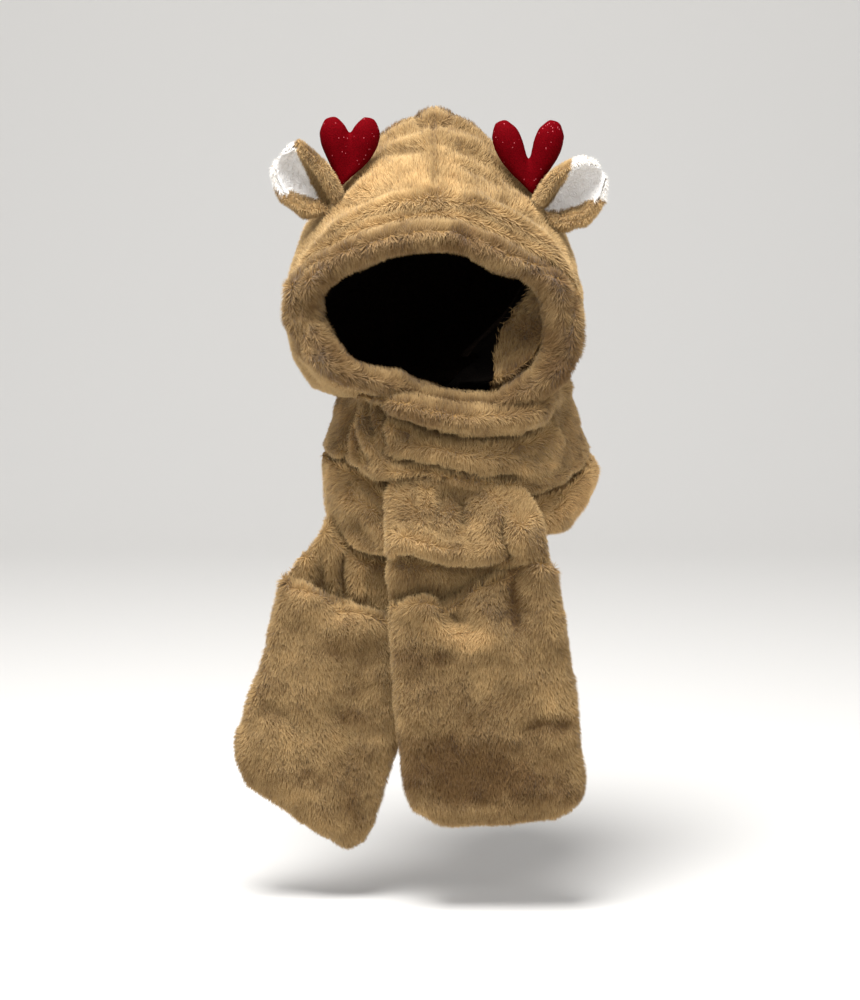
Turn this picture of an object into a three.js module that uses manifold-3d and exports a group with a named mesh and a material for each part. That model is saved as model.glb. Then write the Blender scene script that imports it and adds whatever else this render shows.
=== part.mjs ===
// A plush hood with deer ears and antlers that runs down into a scarf with two pocket ends.
// Millimetres, +Z up, the face opening towards -Y, +X to the viewer's right.
// The origin is the inside of the crown, where the hood rests on a head.
import * as THREE from "three";
import { mergeVertices } from "three/addons/utils/BufferGeometryUtils.js";
import Module from "manifold-3d";

const wasm = await Module();
wasm.setup();

// Driving sizes
const hoodHalfWidth = 148;
const hoodDepth = 252;
const plushWall = 14;
const cheekFill = 68;
const liningWall = 2.5;
const neckHalfWidth = 86;
const neckDepth = 170;
const brimReach = 124;
const brimRoll = 20;
const brimBow = 20;
const wrapHeight = 90;
const wrapReach = 136;
const foldRoll = 20;
const loopRoll = 26;
const tailWidth = 190;
const tailLength = 345;
const tailThickness = 15;
const pocketDepth = 222;
const pocketThickness = 24;
const pocketWall = 8;
const slotThickness = 9;
const earLength = 75;
const earWidth = 30;
const earWall = 6;
const earLiningWall = 3;
const antlerHeight = 73;
const antlerRadius = 15;

// Soft shapes, as shares
const hollowAhead = 0.08; // of hoodDepth: how far the hollow runs out ahead of the front edge
const backRings = [0.965, 0.99, 1]; // of the hood's depth: where the back rounds in
const reliefSpan = 0.85; // how narrowly the crown's folds keep to the top
const foldDeep = 1.15; // of foldRoll: how far a gathered fold stands off the neck
const loopDeep = 0.85; // of loopRoll: the same for the loop
const edgeRound = 0.55; // power of a soft end's section: 1 is an oval, 0 a box
const faceRound = 0.8;
const flatRound = 0.22; // the same for a face that lies against its neighbour
const pocketFoot = { from: 0.97, thick: 0.6 }; // where along the end it thins, and to what share
const slotAbove = 0.1; // of tailLength: how far the slot runs out above the pocket's mouth
const earFlatness = 0.7;
const antlerFlatness = 0.7;
const lobeEnd = 0.97;

// Clearances: touching pieces lie this far apart
const gap = 0.3;
const seamGap = 0.3;

// How many steps the skins take along and around a body
const fine = {
  hood: { along: 17, around: 28 },
  hollow: { along: 8, around: 18 },
  lining: { along: 7, around: 14 },
  hole: 32,
  brim: { along: 28, around: 10 },
  ring: { along: 23, around: 8 },
  end: { along: 15, around: 20 },
  pocket: 12,
  slot: 3,
  ear: { along: 6, around: 8 },
  lobe: { along: 6, around: 10 },
};

// Places
const widestBelow = 184; // height from the widest level of the hood to the top of its crown
const wrapBelow = 92; // height from the widest level of the hood to the top of the wraps
const rightEndBelow = 74; // heights from the top of the wraps to the tops of the two ends
const leftEndBelow = 90;
const liningBehind = 32;
const hoodLevel = plushWall - widestBelow;
const hoodFront = -122;
const brimCentre = new THREE.Vector3(0, hoodFront - 13, hoodLevel - 20);
const wrapTop = hoodLevel - wrapBelow;
const wrapCentre = new THREE.Vector3(21, -12, wrapTop);
const neckCentre = new THREE.Vector3(8, -5, wrapTop);
const neckHoleTop = hoodLevel - 60;
const liningFront = hoodFront + liningBehind;
const liningSlant = 20; // degrees by which the lining's front edge stands further back on the right
const beyond = 600; // further out than any part of the scarf

const degrees = Math.PI / 180;

// A place on the hood: shares of its half width from the middle, of its depth from the front, and of its
// half width above the widest level
function onHood(across, behind, above) {
  return new THREE.Vector3(
    across * hoodHalfWidth,
    hoodFront + behind * hoodDepth,
    hoodLevel + above * hoodHalfWidth,
  );
}

// The outline of the hood from the front, as reaches from its widest level.
// turn: degrees from straight up; reach: share of hoodHalfWidth
const hoodOutline = [
  { turn: 0, reach: 1.22 },
  { turn: 14, reach: 1.125 },
  { turn: 28, reach: 1.03 },
  { turn: 52, reach: 0.955 },
  { turn: 74, reach: 0.96 },
  { turn: 90, reach: 0.985 },
  { turn: 108, reach: 1.03 },
  { turn: 130, reach: 1.02 },
  { turn: 152, reach: 0.88 },
  { turn: 180, reach: 0.82 },
];

// The hood from its front edge to its back.
// depth: share of hoodDepth; width, crown, chin: shares of the outline's reach sideways, up and down
const hoodSections = [
  { depth: 0.0, width: 0.92, crown: 0.43, chin: 0.78 },
  { depth: 0.07, width: 0.955, crown: 0.57, chin: 0.83 },
  { depth: 0.18, width: 0.985, crown: 0.72, chin: 0.9 },
  { depth: 0.32, width: 1.0, crown: 0.87, chin: 0.97 },
  { depth: 0.47, width: 1.0, crown: 0.98, chin: 1.0 },
  { depth: 0.58, width: 0.975, crown: 1.0, chin: 1.0 },
  { depth: 0.72, width: 0.89, crown: 0.93, chin: 1.0 },
  { depth: 0.85, width: 0.73, crown: 0.76, chin: 0.98 },
  { depth: 0.95, width: 0.5, crown: 0.52, chin: 0.8 },
  { depth: 1.0, width: 0.1, crown: 0.1, chin: 0.2 },
];

// Soft folds that run across the crown beside the opening.
// depth: place from the front; rise: share of plushWall; spread: width; sag: how far the sides lie back
const crownFolds = [
  { depth: 0.055, rise: 0.55, spread: 0.035, sag: 0.0 },
  { depth: 0.2, rise: 0.32, spread: 0.035, sag: 0.1 },
  { depth: 0.32, rise: 0.28, spread: 0.035, sag: 0.14 },
  { depth: 0.44, rise: 0.3, spread: 0.04, sag: 0.18 },
  { depth: 0.56, rise: 0.22, spread: 0.04, sag: 0.2 },
];
// How the slack right side of the empty hood leans in behind the rim.
// depth: place from the front; turn: degrees from straight up; lean: share of cheekFill
const cheekDepths = [
  { depth: 0.0, lean: 0.0 },
  { depth: 0.08, lean: 0.42 },
  { depth: 0.2, lean: 0.96 },
  { depth: 0.3, lean: 1.0 },
  { depth: 0.55, lean: 0.6 },
  { depth: 0.8, lean: 0.1 },
  { depth: 1.0, lean: 0.0 },
];
const cheekTurns = [
  { turn: 0, lean: 0.0 },
  { turn: 50, lean: 0.0 },
  { turn: 80, lean: 0.52 },
  { turn: 105, lean: 0.95 },
  { turn: 135, lean: 1.0 },
  { turn: 160, lean: 0.5 },
  { turn: 180, lean: 0.0 },
];
const seamDip = 3.5;
const seamDipWidth = 9;

// The padded roll round the face opening, clockwise from the top as the wearer is seen.
// turn: degrees; reach: share of brimReach; bow: share of brimBow set back; roll: share of brimRoll
const brimSections = [
  { turn: -180, reach: 0.55, bow: 0.9, roll: 0.56 },
  { turn: -151, reach: 0.575, bow: 0.6, roll: 0.68 },
  { turn: -119, reach: 0.806, bow: 0.4, roll: 0.88 },
  { turn: -97, reach: 0.976, bow: 0.95, roll: 1.0 },
  { turn: -76, reach: 1.02, bow: 1.0, roll: 1.0 },
  { turn: -54, reach: 0.82, bow: 0.4, roll: 0.85 },
  { turn: -28, reach: 0.685, bow: 0.08, roll: 0.76 },
  { turn: 0, reach: 0.653, bow: 0.0, roll: 0.72 },
  { turn: 28, reach: 0.67, bow: 0.12, roll: 0.76 },
  { turn: 53, reach: 0.734, bow: 0.4, roll: 0.82 },
  { turn: 71, reach: 0.927, bow: 0.85, roll: 0.92 },
  { turn: 90, reach: 1.0, bow: 1.0, roll: 0.98 },
  { turn: 110, reach: 1.0, bow: 0.9, roll: 0.94 },
  { turn: 131, reach: 0.865, bow: 0.7, roll: 0.76 },
  { turn: 159, reach: 0.63, bow: 0.85, roll: 0.6 },
  { turn: 180, reach: 0.55, bow: 0.9, roll: 0.56 },
];

// Where the heights of a neck fold are given, in degrees from the front towards the viewer's right
const foldStations = {
  back: -180,
  left: -90,
  leftSide: -60,
  leftFront: -30,
  front: 0,
  rightFront: 30,
  rightSide: 60,
  right: 90,
};

// The gathered folds of the upper wrap: heights below wrapTop as shares of wrapHeight.
// stand: share of foldRoll that the fold stands further out; roll: share of foldRoll
const upperFolds = [
  {
    back: 0.05, left: -0.02, leftSide: -0.04, leftFront: 0.07, front: 0.23,
    rightFront: 0.19, rightSide: 0.06, right: 0.0, stand: 0.2, roll: 0.92,
  },
  {
    back: 0.4, left: 0.3, leftSide: 0.22, leftFront: 0.34, front: 0.61,
    rightFront: 0.62, rightSide: 0.5, right: 0.34, stand: 0.0, roll: 0.95,
  },
  {
    back: 0.72, left: 0.66, leftSide: 0.68, leftFront: 0.82, front: 0.86,
    rightFront: 0.98, rightSide: 0.86, right: 0.7, stand: 0.05, roll: 0.72,
  },
];

// The loop that passes round below the gathered folds.
// turn: degrees from the front; down: share of wrapHeight; stand: share of loopRoll; tall: share of loopRoll
const loopSections = [
  { turn: -180, down: 0.72, stand: -0.6, tall: 1.55 },
  { turn: -120, down: 0.78, stand: -0.1, tall: 1.85 },
  { turn: -90, down: 0.84, stand: 0.02, tall: 2.05 },
  { turn: -60, down: 1.12, stand: 0.0, tall: 1.7 },
  { turn: -30, down: 1.47, stand: -0.35, tall: 1.2 },
  { turn: 0, down: 1.56, stand: -0.8, tall: 1.0 },
  { turn: 30, down: 1.44, stand: -0.45, tall: 0.95 },
  { turn: 60, down: 1.16, stand: 0.1, tall: 1.05 },
  { turn: 90, down: 0.92, stand: 0.25, tall: 1.2 },
  { turn: 130, down: 0.75, stand: -0.1, tall: 1.5 },
  { turn: 180, down: 0.72, stand: -0.6, tall: 1.55 },
];

// The two hanging ends, from the top down. down: share of tailLength; left, right: shares of tailWidth
// from the line that the end hangs along; back, front: shares of tailThickness ahead of that line;
// slope: rise of the row towards the right, as a share of its run; pleat: how deep its gathers dent it
const rightRows = [
  { down: 0.0, left: -0.34, right: 0.31, back: 0.0, front: 1.6, slope: -0.1, pleat: 0.4 },
  { down: 0.06, left: -0.39, right: 0.35, back: 0.0, front: 2.4, slope: -0.08, pleat: 0.35 },
  { down: 0.14, left: -0.41, right: 0.4, back: 0.0, front: 3.1, slope: -0.06, pleat: 0.16 },
  { down: 0.22, left: -0.41, right: 0.42, back: 0.0, front: 3.2, slope: -0.04, pleat: 0.06 },
  { down: 0.28, left: -0.42, right: 0.43, back: 0.0, front: 2.4, slope: 0.0, pleat: 0.03 },
  { down: 0.32, left: -0.43, right: 0.43, back: 0.0, front: 1.0, slope: 0.04, pleat: 0.0 },
  { down: 0.33, left: -0.43, right: 0.43, back: 0.0, front: 1.0, slope: 0.04, pleat: 0.0 },
  { down: 0.6, left: -0.45, right: 0.46, back: 0.0, front: 1.0, slope: 0.02, pleat: 0.0 },
  { down: 0.8, left: -0.46, right: 0.46, back: 0.0, front: 1.0, slope: -0.02, pleat: 0.0 },
  { down: 0.91, left: -0.45, right: 0.45, back: 0.05, front: 1.0, slope: -0.04, pleat: 0.0 },
  { down: 0.97, left: -0.4, right: 0.4, back: 0.15, front: 1.0, slope: -0.05, pleat: 0.0 },
  { down: 1.0, left: -0.3, right: 0.3, back: 0.4, front: 1.0, slope: -0.05, pleat: 0.0 },
];
const leftRows = [
  { down: 0.0, left: -0.2, right: 0.22, back: 0.0, front: 1.4, slope: -0.02, pleat: 0.4 },
  { down: 0.1, left: -0.24, right: 0.28, back: 0.0, front: 1.9, slope: -0.04, pleat: 0.4 },
  { down: 0.18, left: -0.27, right: 0.32, back: 0.0, front: 2.0, slope: -0.06, pleat: 0.35 },
  { down: 0.27, left: -0.32, right: 0.36, back: 0.0, front: 1.6, slope: -0.08, pleat: 0.22 },
  { down: 0.35, left: -0.4, right: 0.4, back: 0.0, front: 1.0, slope: -0.1, pleat: 0.0 },
  { down: 0.36, left: -0.4, right: 0.4, back: 0.0, front: 1.0, slope: -0.1, pleat: 0.0 },
  { down: 0.5, left: -0.4, right: 0.4, back: 0.0, front: 1.0, slope: -0.14, pleat: 0.0 },
  { down: 0.7, left: -0.4, right: 0.4, back: 0.0, front: 1.0, slope: -0.2, pleat: 0.0 },
  { down: 0.86, left: -0.41, right: 0.4, back: 0.0, front: 1.0, slope: -0.28, pleat: 0.0 },
  { down: 0.94, left: -0.39, right: 0.38, back: 0.15, front: 1.0, slope: -0.31, pleat: 0.0 },
  { down: 1.0, left: -0.3, right: 0.29, back: 0.4, front: 1.0, slope: -0.32, pleat: 0.0 },
];

// Each end: the point that it hangs from, its back, the turn of its hanging line and its pocket
const tails = {
  right: {
    top: new THREE.Vector3(22, -112, wrapTop - rightEndBelow),
    swing: -7,
    pleats: 2,
    rows: rightRows,
    pocketFrom: 0.33,
  },
  left: {
    top: new THREE.Vector3(-43, -68, wrapTop - leftEndBelow),
    swing: 15.5,
    pleats: 3,
    rows: leftRows,
    pocketFrom: 0.36,
  },
};

// The ears, folded round their length and open to the front outside.
// along: share of earLength; wide: share of earWidth; open: degrees of wall on each side of its back
const earSections = [
  { along: 0.0, wide: 0.42, open: 165 },
  { along: 0.25, wide: 0.72, open: 150 },
  { along: 0.55, wide: 0.95, open: 125 },
  { along: 0.8, wide: 0.8, open: 105 },
  { along: 0.94, wide: 0.62, open: 92 },
  { along: 1.0, wide: 0.42, open: 84 },
];
const earPlaces = {
  left: {
    base: onHood(-0.628, 0.266, 0.554),
    tip: onHood(-1.014, 0.238, 0.878),
    faces: new THREE.Vector3(-0.35, -1, 0.1),
  },
  right: {
    base: onHood(0.669, 0.266, 0.527),
    tip: onHood(1.088, 0.238, 0.784),
    faces: new THREE.Vector3(0.35, -1, 0.1),
  },
};

// The two lobes of each antler. along: share of the lobe; thick: share of antlerRadius
const lobeSections = [
  { along: 0.0, thick: 0.78 },
  { along: 0.35, thick: 0.84 },
  { along: 0.65, thick: 1.0 },
  { along: 0.85, thick: 0.86 },
  { along: 0.97, thick: 0.42 },
];

// root: the foot; side: share of antlerRadius that a lobe's foot stands to the right of the root;
// lean: degrees from straight up; length: share of antlerHeight
const antlerPlaces = {
  left: {
    root: onHood(-0.561, 0.302, 0.676),
    lobes: [
      { side: -0.32, lean: -10, length: 1.0 },
      { side: 0.32, lean: 13, length: 1.0 },
    ],
  },
  right: {
    root: onHood(0.628, 0.302, 0.649),
    lobes: [
      { side: -0.25, lean: -20, length: 1.05 },
      { side: 0.25, lean: 16, length: 1.03 },
    ],
  },
};

// Reads a table smoothly between its rows, by its first column
function smoothTable(rows, looped = false) {
  const [key, ...names] = Object.keys(rows[0]);
  const curve = new THREE.CubicInterpolant(
    rows.map((row) => row[key]),
    rows.flatMap((row) => names.map((name) => row[name])),
    names.length,
  );
  const ending = looped ? THREE.WrapAroundEnding : THREE.ZeroCurvatureEnding;
  curve.settings = { endingStart: ending, endingEnd: ending };
  return (at) => {
    const values = curve.evaluate(at);
    return Object.fromEntries(names.map((name, i) => [name, values[i]]));
  };
}

// Whole steps from one value to another, both included
function steps(from, to, count) {
  return Array.from({ length: count + 1 }, (_, i) => from + ((to - from) * i) / count);
}

// The turns of the points round a closed ring, from nought through a half turn and back from behind
function round(count) {
  return steps(0, 2, count)
    .slice(0, -1)
    .map((half) => (half > 1 ? half - 2 : half) * Math.PI);
}

// A solid from its points and the triangles between them, turned to face outwards
function solidFrom(points, triangles) {
  const geometry = new THREE.BufferGeometry().setFromPoints(points);
  geometry.setIndex(triangles);
  const merged = mergeVertices(geometry, 1e-3);
  const corners = new Uint32Array(merged.index.array);
  const build = (triVerts) =>
    new wasm.Manifold(
      new wasm.Mesh({ numProp: 3, vertProperties: merged.attributes.position.array, triVerts }),
    );
  const made = build(corners);
  if (made.volume() >= 0) return made;
  for (let i = 0; i < corners.length; i += 3) {
    [corners[i + 1], corners[i + 2]] = [corners[i + 2], corners[i + 1]];
  }
  return build(corners);
}

// A skin over rings of points: a closed loop of rings, or a body capped at its first and last ring.
// A folded ring runs out along one face and back along the other, and its caps bridge the two.
function loft(rings, looped = false, folded = false) {
  const around = rings[0].length;
  const points = rings.flat();
  const triangles = [];
  const spans = looped ? rings.length : rings.length - 1;
  for (let i = 0; i < spans; i++) {
    const near = i * around;
    const far = ((i + 1) % rings.length) * around;
    for (let j = 0; j < around; j++) {
      const next = (j + 1) % around;
      triangles.push(near + j, near + next, far + next, near + j, far + next, far + j);
    }
  }
  if (!looped && folded) {
    [0, rings.length - 1].forEach((ring, end) => {
      const first = ring * around;
      const last = first + around - 1;
      for (let j = 0; j < around / 2 - 1; j++) {
        const quad = [first + j, first + j + 1, last - j - 1, last - j];
        if (!end) quad.reverse();
        triangles.push(quad[0], quad[1], quad[2], quad[0], quad[2], quad[3]);
      }
    });
  } else if (!looped) {
    [0, rings.length - 1].forEach((ring, end) => {
      const middle = new THREE.Vector3();
      rings[ring].forEach((point) => middle.addScaledVector(point, 1 / around));
      points.push(middle);
      const centre = points.length - 1;
      for (let j = 0; j < around; j++) {
        const a = ring * around + j;
        const b = ring * around + ((j + 1) % around);
        triangles.push(centre, ...(end ? [a, b] : [b, a]));
      }
    });
  }
  return solidFrom(points, triangles);
}

// A plain block between two corners, which may be moved by a matrix
function block(low, high, place = new THREE.Matrix4()) {
  const size = new THREE.Vector3().subVectors(high, low);
  const geometry = new THREE.BoxGeometry(size.x, size.y, size.z);
  geometry.translate(low.x + size.x / 2, low.y + size.y / 2, low.z + size.z / 2);
  geometry.applyMatrix4(place);
  geometry.deleteAttribute("normal");
  geometry.deleteAttribute("uv");
  const merged = mergeVertices(geometry, 1e-3);
  const points = [];
  for (let i = 0; i < merged.attributes.position.count; i++) {
    points.push(new THREE.Vector3().fromBufferAttribute(merged.attributes.position, i));
  }
  return solidFrom(points, Array.from(merged.index.array));
}

// The biggest body of a solid, without the crumbs that a cut leaves
function mainBody(solid) {
  return solid.decompose().reduce((a, b) => (a.volume() > b.volume() ? a : b));
}

// How far the crown's folds and its centre seam move the plush at a place on the hood
function crownRelief(depth, turn, x) {
  const overTop = Math.max(0, Math.cos(turn * reliefSpan));
  const folds = crownFolds.reduce((sum, fold) => {
    const off = (depth - fold.depth - fold.sag * Math.sin(turn) ** 2) / fold.spread;
    return sum + fold.rise * Math.exp(-off * off);
  }, 0);
  const seam = seamDip * Math.exp(-((x / seamDipWidth) ** 2));
  return overTop * (folds * plushWall - seam);
}

// How far the inner wall leans in at a place on the hood's right side
function cheekLean(depth, turn) {
  if (turn <= 0) return 0;
  const along = smoothTable(cheekDepths)(THREE.MathUtils.clamp(depth, 0, 1)).lean;
  const around = smoothTable(cheekTurns)(turn / degrees).lean;
  return Math.max(0, along) * Math.max(0, around) * cheekFill;
}

// The hood's bag as a filled form, this far inside its outer face
function hoodForm(inset, { along, around }, relief = true) {
  const section = smoothTable(hoodSections);
  const outline = smoothTable(hoodOutline);
  const inner = inset > plushWall / 2;
  const front = inner ? -hollowAhead : inset / hoodDepth;
  const back = 1 - inset / hoodDepth;
  const [roundsFrom, ...rest] = backRings;
  const depths = [...steps(front, back * roundsFrom, along), ...rest.map((share) => back * share)];
  const rings = depths.map((depth) => {
    const { width, crown, chin } = section(THREE.MathUtils.clamp(depth / back, 0, 1));
    return round(around).map((turn) => {
      const { reach } = outline(Math.abs(turn) / degrees);
      const full = reach * hoodHalfWidth;
      const across = Math.sin(turn) * full * width;
      const up = Math.cos(turn) * full * (Math.cos(turn) > 0 ? crown : chin);
      const length = Math.hypot(across, up);
      const lift = relief ? crownRelief(depth, turn, across) : 0;
      const lean = inner ? cheekLean(depth, turn) : 0;
      const share = Math.max(0.1, (length - inset - lean + lift) / length);
      return new THREE.Vector3(across * share, hoodFront + depth * hoodDepth, hoodLevel + up * share);
    });
  });
  return loft(rings);
}

// The hole that the neck passes through, an upright oval as wide as the neck plus a margin
function neckHole(margin, from, to) {
  const rings = [from, to].map((z) =>
    round(fine.hole).map(
      (turn) =>
        new THREE.Vector3(
          neckCentre.x + Math.sin(turn) * (neckHalfWidth + margin),
          neckCentre.y + Math.cos(turn) * (neckDepth / 2 + margin),
          z,
        ),
    ),
  );
  return loft(rings);
}

// The padded roll round the face opening
function brim(grow) {
  const section = smoothTable(brimSections, true);
  const rings = steps(-180, 180, fine.brim.along).slice(0, -1).map((turn) => {
    const { reach, bow, roll } = section(turn);
    const out = new THREE.Vector3(Math.sin(turn * degrees), 0, Math.cos(turn * degrees));
    const middle = brimCentre.clone().addScaledVector(out, reach * brimReach);
    middle.y += bow * brimBow;
    return round(fine.brim.around).map((at) =>
      middle
        .clone()
        .addScaledVector(out, Math.cos(at) * (roll * brimRoll + grow))
        .add(new THREE.Vector3(0, Math.sin(at) * (brimRoll + grow), 0)),
    );
  });
  return loft(rings, true);
}

// A soft ring round the neck: its middle at each turn, and how tall and deep it is there
function neckRing(read, grow) {
  const rings = steps(-180, 180, fine.ring.along).slice(0, -1).map((turn) => {
    const { down, reach, tall, deep } = read(turn);
    const out = new THREE.Vector3(Math.sin(turn * degrees), -Math.cos(turn * degrees), 0);
    const middle = wrapCentre.clone().addScaledVector(out, reach - deep);
    middle.z = wrapTop - down * wrapHeight;
    return round(fine.ring.around).map((at) =>
      middle
        .clone()
        .addScaledVector(out, Math.cos(at) * (deep + grow))
        .add(new THREE.Vector3(0, 0, Math.sin(at) * (tall + grow))),
    );
  });
  return loft(rings, true);
}

// The gathered folds, joined to one body
function upperWrap(grow) {
  return upperFolds
    .map((fold) => {
      const heights = Object.entries(foldStations).map(([name, turn]) => ({ turn, down: fold[name] }));
      heights.push({ turn: 180, down: fold.back });
      const height = smoothTable(heights, true);
      const roll = fold.roll * foldRoll;
      return neckRing(
        (turn) => ({
          down: height(turn).down,
          reach: wrapReach + fold.stand * foldRoll,
          tall: roll,
          deep: foldRoll * foldDeep,
        }),
        grow,
      );
    })
    .reduce((all, ring) => all.add(ring));
}

// The loop below them
function lowerWrap(grow) {
  const section = smoothTable(loopSections, true);
  return neckRing((turn) => {
    const { down, stand, tall } = section(turn);
    return {
      down,
      reach: wrapReach + stand * loopRoll,
      tall: tall * loopRoll,
      deep: loopRoll * loopDeep,
    };
  }, grow);
}

// The matrix of an end: its hanging line runs from its top point down the local -Z
function tailPlace({ top, swing }) {
  return new THREE.Matrix4()
    .makeRotationY(swing * degrees)
    .setPosition(top);
}

// A flat soft body along an end. flat names the face that lies against its neighbour; back and
// front give the two faces in millimetres ahead of the hanging line, where they aren't the table's
function tailForm(tail, { from, to, count, flat = null, inset = 0, back = null, front = null }) {
  const read = smoothTable(tail.rows);
  const place = tailPlace(tail);
  const rings = steps(from, to, count).map((down) => {
    const row = read(down);
    const behind = back ? back(down) : row.back * tailThickness;
    const ahead = front ? front(down) : row.front * tailThickness;
    const middle = ((row.left + row.right) / 2) * tailWidth;
    const half = ((row.right - row.left) / 2) * tailWidth - inset;
    return round(fine.end.around).map((at) => {
      const rounded = (value, power) => Math.sign(value) * Math.abs(value) ** power;
      const across = rounded(Math.cos(at), edgeRound);
      const face = Math.sin(at) > 0 ? "front" : "back";
      const forward = rounded(Math.sin(at), face === flat ? flatRound : faceRound);
      const dent = 1 - row.pleat * (0.5 + 0.5 * Math.cos(across * tail.pleats * Math.PI));
      const x = middle + across * half;
      const y = -behind - ((ahead - behind) / 2) * (1 + forward) * dent;
      return new THREE.Vector3(x, y, row.slope * x - down * tailLength).applyMatrix4(place);
    });
  });
  return loft(rings);
}

// The pocket: a soft panel whose sides and foot are sewn to the end, with a slot behind it
function pocketForm(tail) {
  const seam = tailThickness + gap;
  const outer = tailForm(tail, {
    from: tail.pocketFrom,
    to: 1,
    count: fine.pocket,
    flat: "back",
    back: () => seam,
    front: (down) => seam + pocketThickness * (down > pocketFoot.from ? pocketFoot.thick : 1),
  });
  const slot = tailForm(tail, {
    from: tail.pocketFrom - slotAbove,
    to: tail.pocketFrom + (pocketDepth - 2 * pocketWall) / tailLength,
    count: fine.slot,
    inset: 2 * pocketWall,
    back: () => seam - slotThickness,
    front: () => seam + slotThickness,
  });
  return outer.subtract(slot);
}

// An ear's wall or its lining, wrapped round the ear's length, between two depths inside its outer face
function earForm({ base, tip, faces }, from, to) {
  const up = new THREE.Vector3().subVectors(tip, base).normalize();
  const side = new THREE.Vector3().crossVectors(faces, up).normalize();
  const front = new THREE.Vector3().crossVectors(up, side).normalize();
  const section = smoothTable(earSections);
  const rings = steps(0, 1, fine.ear.along).map((along) => {
    const { wide, open } = section(along);
    const middle = base.clone().addScaledVector(up, along * earLength);
    const turns = steps(-open, open, fine.ear.around);
    const at = (turn, radius) =>
      middle
        .clone()
        .addScaledVector(side, Math.sin(turn * degrees) * radius)
        .addScaledVector(front, -Math.cos(turn * degrees) * radius * earFlatness);
    const outer = wide * earWidth - from;
    const inner = Math.max(1, wide * earWidth - to);
    return [
      ...turns.map((turn) => at(turn, outer)),
      ...turns.reverse().map((turn) => at(turn, inner)),
    ];
  });
  return loft(rings, false, true);
}

// One lobe of an antler, a flattened stuffed finger
function lobe(root, { side: foot, lean, length }, grow) {
  const section = smoothTable(lobeSections);
  const tilt = lean * degrees;
  const up = new THREE.Vector3(Math.sin(tilt), 0, Math.cos(tilt));
  const side = new THREE.Vector3(Math.cos(tilt), 0, -Math.sin(tilt));
  const rings = steps(0, lobeEnd, fine.lobe.along).map((along) => {
    const { thick } = section(along);
    const middle = root.clone().addScaledVector(up, along * length * antlerHeight);
    middle.x += foot * antlerRadius;
    const wide = thick * antlerRadius;
    return round(fine.lobe.around).map((at) =>
      middle
        .clone()
        .addScaledVector(side, Math.cos(at) * (wide + grow))
        .add(new THREE.Vector3(0, Math.sin(at) * (wide * antlerFlatness + grow), 0)),
    );
  });
  return loft(rings);
}

function antlerForm({ root, lobes }, grow) {
  return lobes.map((each) => lobe(root, each, grow)).reduce((a, b) => a.add(b));
}

const materials = {
  tan: { color: 0xa88455, roughness: 0.95, metalness: 0 },
  white: { color: 0xe6e0d8, roughness: 0.8, metalness: 0 },
  red: { color: 0x8c0716, roughness: 0.75, metalness: 0 },
  dark: { color: 0x0b0806, roughness: 0.98, metalness: 0 },
};

// A named mesh of a solid's main body
function piece(name, solid, material) {
  const { numProp, vertProperties, triVerts } = mainBody(solid).getMesh();
  const position = new Float32Array((vertProperties.length / numProp) * 3);
  for (let i = 0; i < position.length / 3; i++) {
    position.set(vertProperties.subarray(i * numProp, i * numProp + 3), i * 3);
  }
  const geometry = new THREE.BufferGeometry();
  geometry.setAttribute("position", new THREE.BufferAttribute(position, 3));
  geometry.setIndex(new THREE.BufferAttribute(triVerts, 1));
  geometry.computeVertexNormals();
  const mesh = new THREE.Mesh(geometry, new THREE.MeshStandardMaterial(materials[material]));
  mesh.name = name;
  return mesh;
}

const scarf = new THREE.Group();

// The hood, halved at its centre seam
const hoodFilled = hoodForm(-gap, fine.hood);
const hoodInside = hoodForm(plushWall, fine.hollow, false);
const hoodShell = hoodForm(0, fine.hood)
  .subtract(hoodInside)
  .subtract(neckHole(0, -beyond, neckHoleTop))
  .subtract(brim(gap));
for (const side of ["left", "right"]) {
  const sign = side === "left" ? -1 : 1;
  const half = block(
    new THREE.Vector3(sign > 0 ? seamGap / 2 : -beyond, -beyond, -beyond),
    new THREE.Vector3(sign > 0 ? beyond : -seamGap / 2, beyond, beyond),
  );
  scarf.add(piece(`hood_panel_${side}`, hoodShell.intersect(half), "tan"));
}

// The dark lining lies inside the plush
const liningTurn = new THREE.Matrix4().makeRotationZ(liningSlant * degrees).setPosition(0, liningFront, 0);
const liningCut = block(
  new THREE.Vector3(-beyond, -beyond, -beyond),
  new THREE.Vector3(beyond, 0, beyond),
  liningTurn,
);
const lining = hoodForm(plushWall + gap, fine.hollow, false)
  .subtract(hoodForm(plushWall + gap + liningWall, fine.lining, false))
  .subtract(neckHole(0, -beyond, neckHoleTop))
  .subtract(liningCut)
  .subtract(brim(gap));
scarf.add(piece("hood_lining", lining, "dark"));
scarf.add(piece("brim_roll", brim(0), "tan"));

// The wraps round the neck
const upperFoldsSolid = upperWrap(0).subtract(brim(gap)).subtract(hoodFilled);
scarf.add(piece("wrap_upper", upperFoldsSolid, "tan"));
const lowerLoopSolid = lowerWrap(0).subtract(upperWrap(gap)).subtract(hoodFilled).subtract(brim(gap));
scarf.add(piece("wrap_lower", lowerLoopSolid, "tan"));

// The hanging ends and their pockets
const wraps = upperWrap(gap).add(lowerWrap(gap));
for (const [side, tail] of Object.entries(tails)) {
  const end = tailForm(tail, { from: 0, to: 1, count: fine.end.along, flat: "front" });
  scarf.add(piece(`tail_${side}`, end.subtract(wraps), "tan"));
  scarf.add(piece(`pocket_${side}`, pocketForm(tail).subtract(wraps), "tan"));
}

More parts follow.
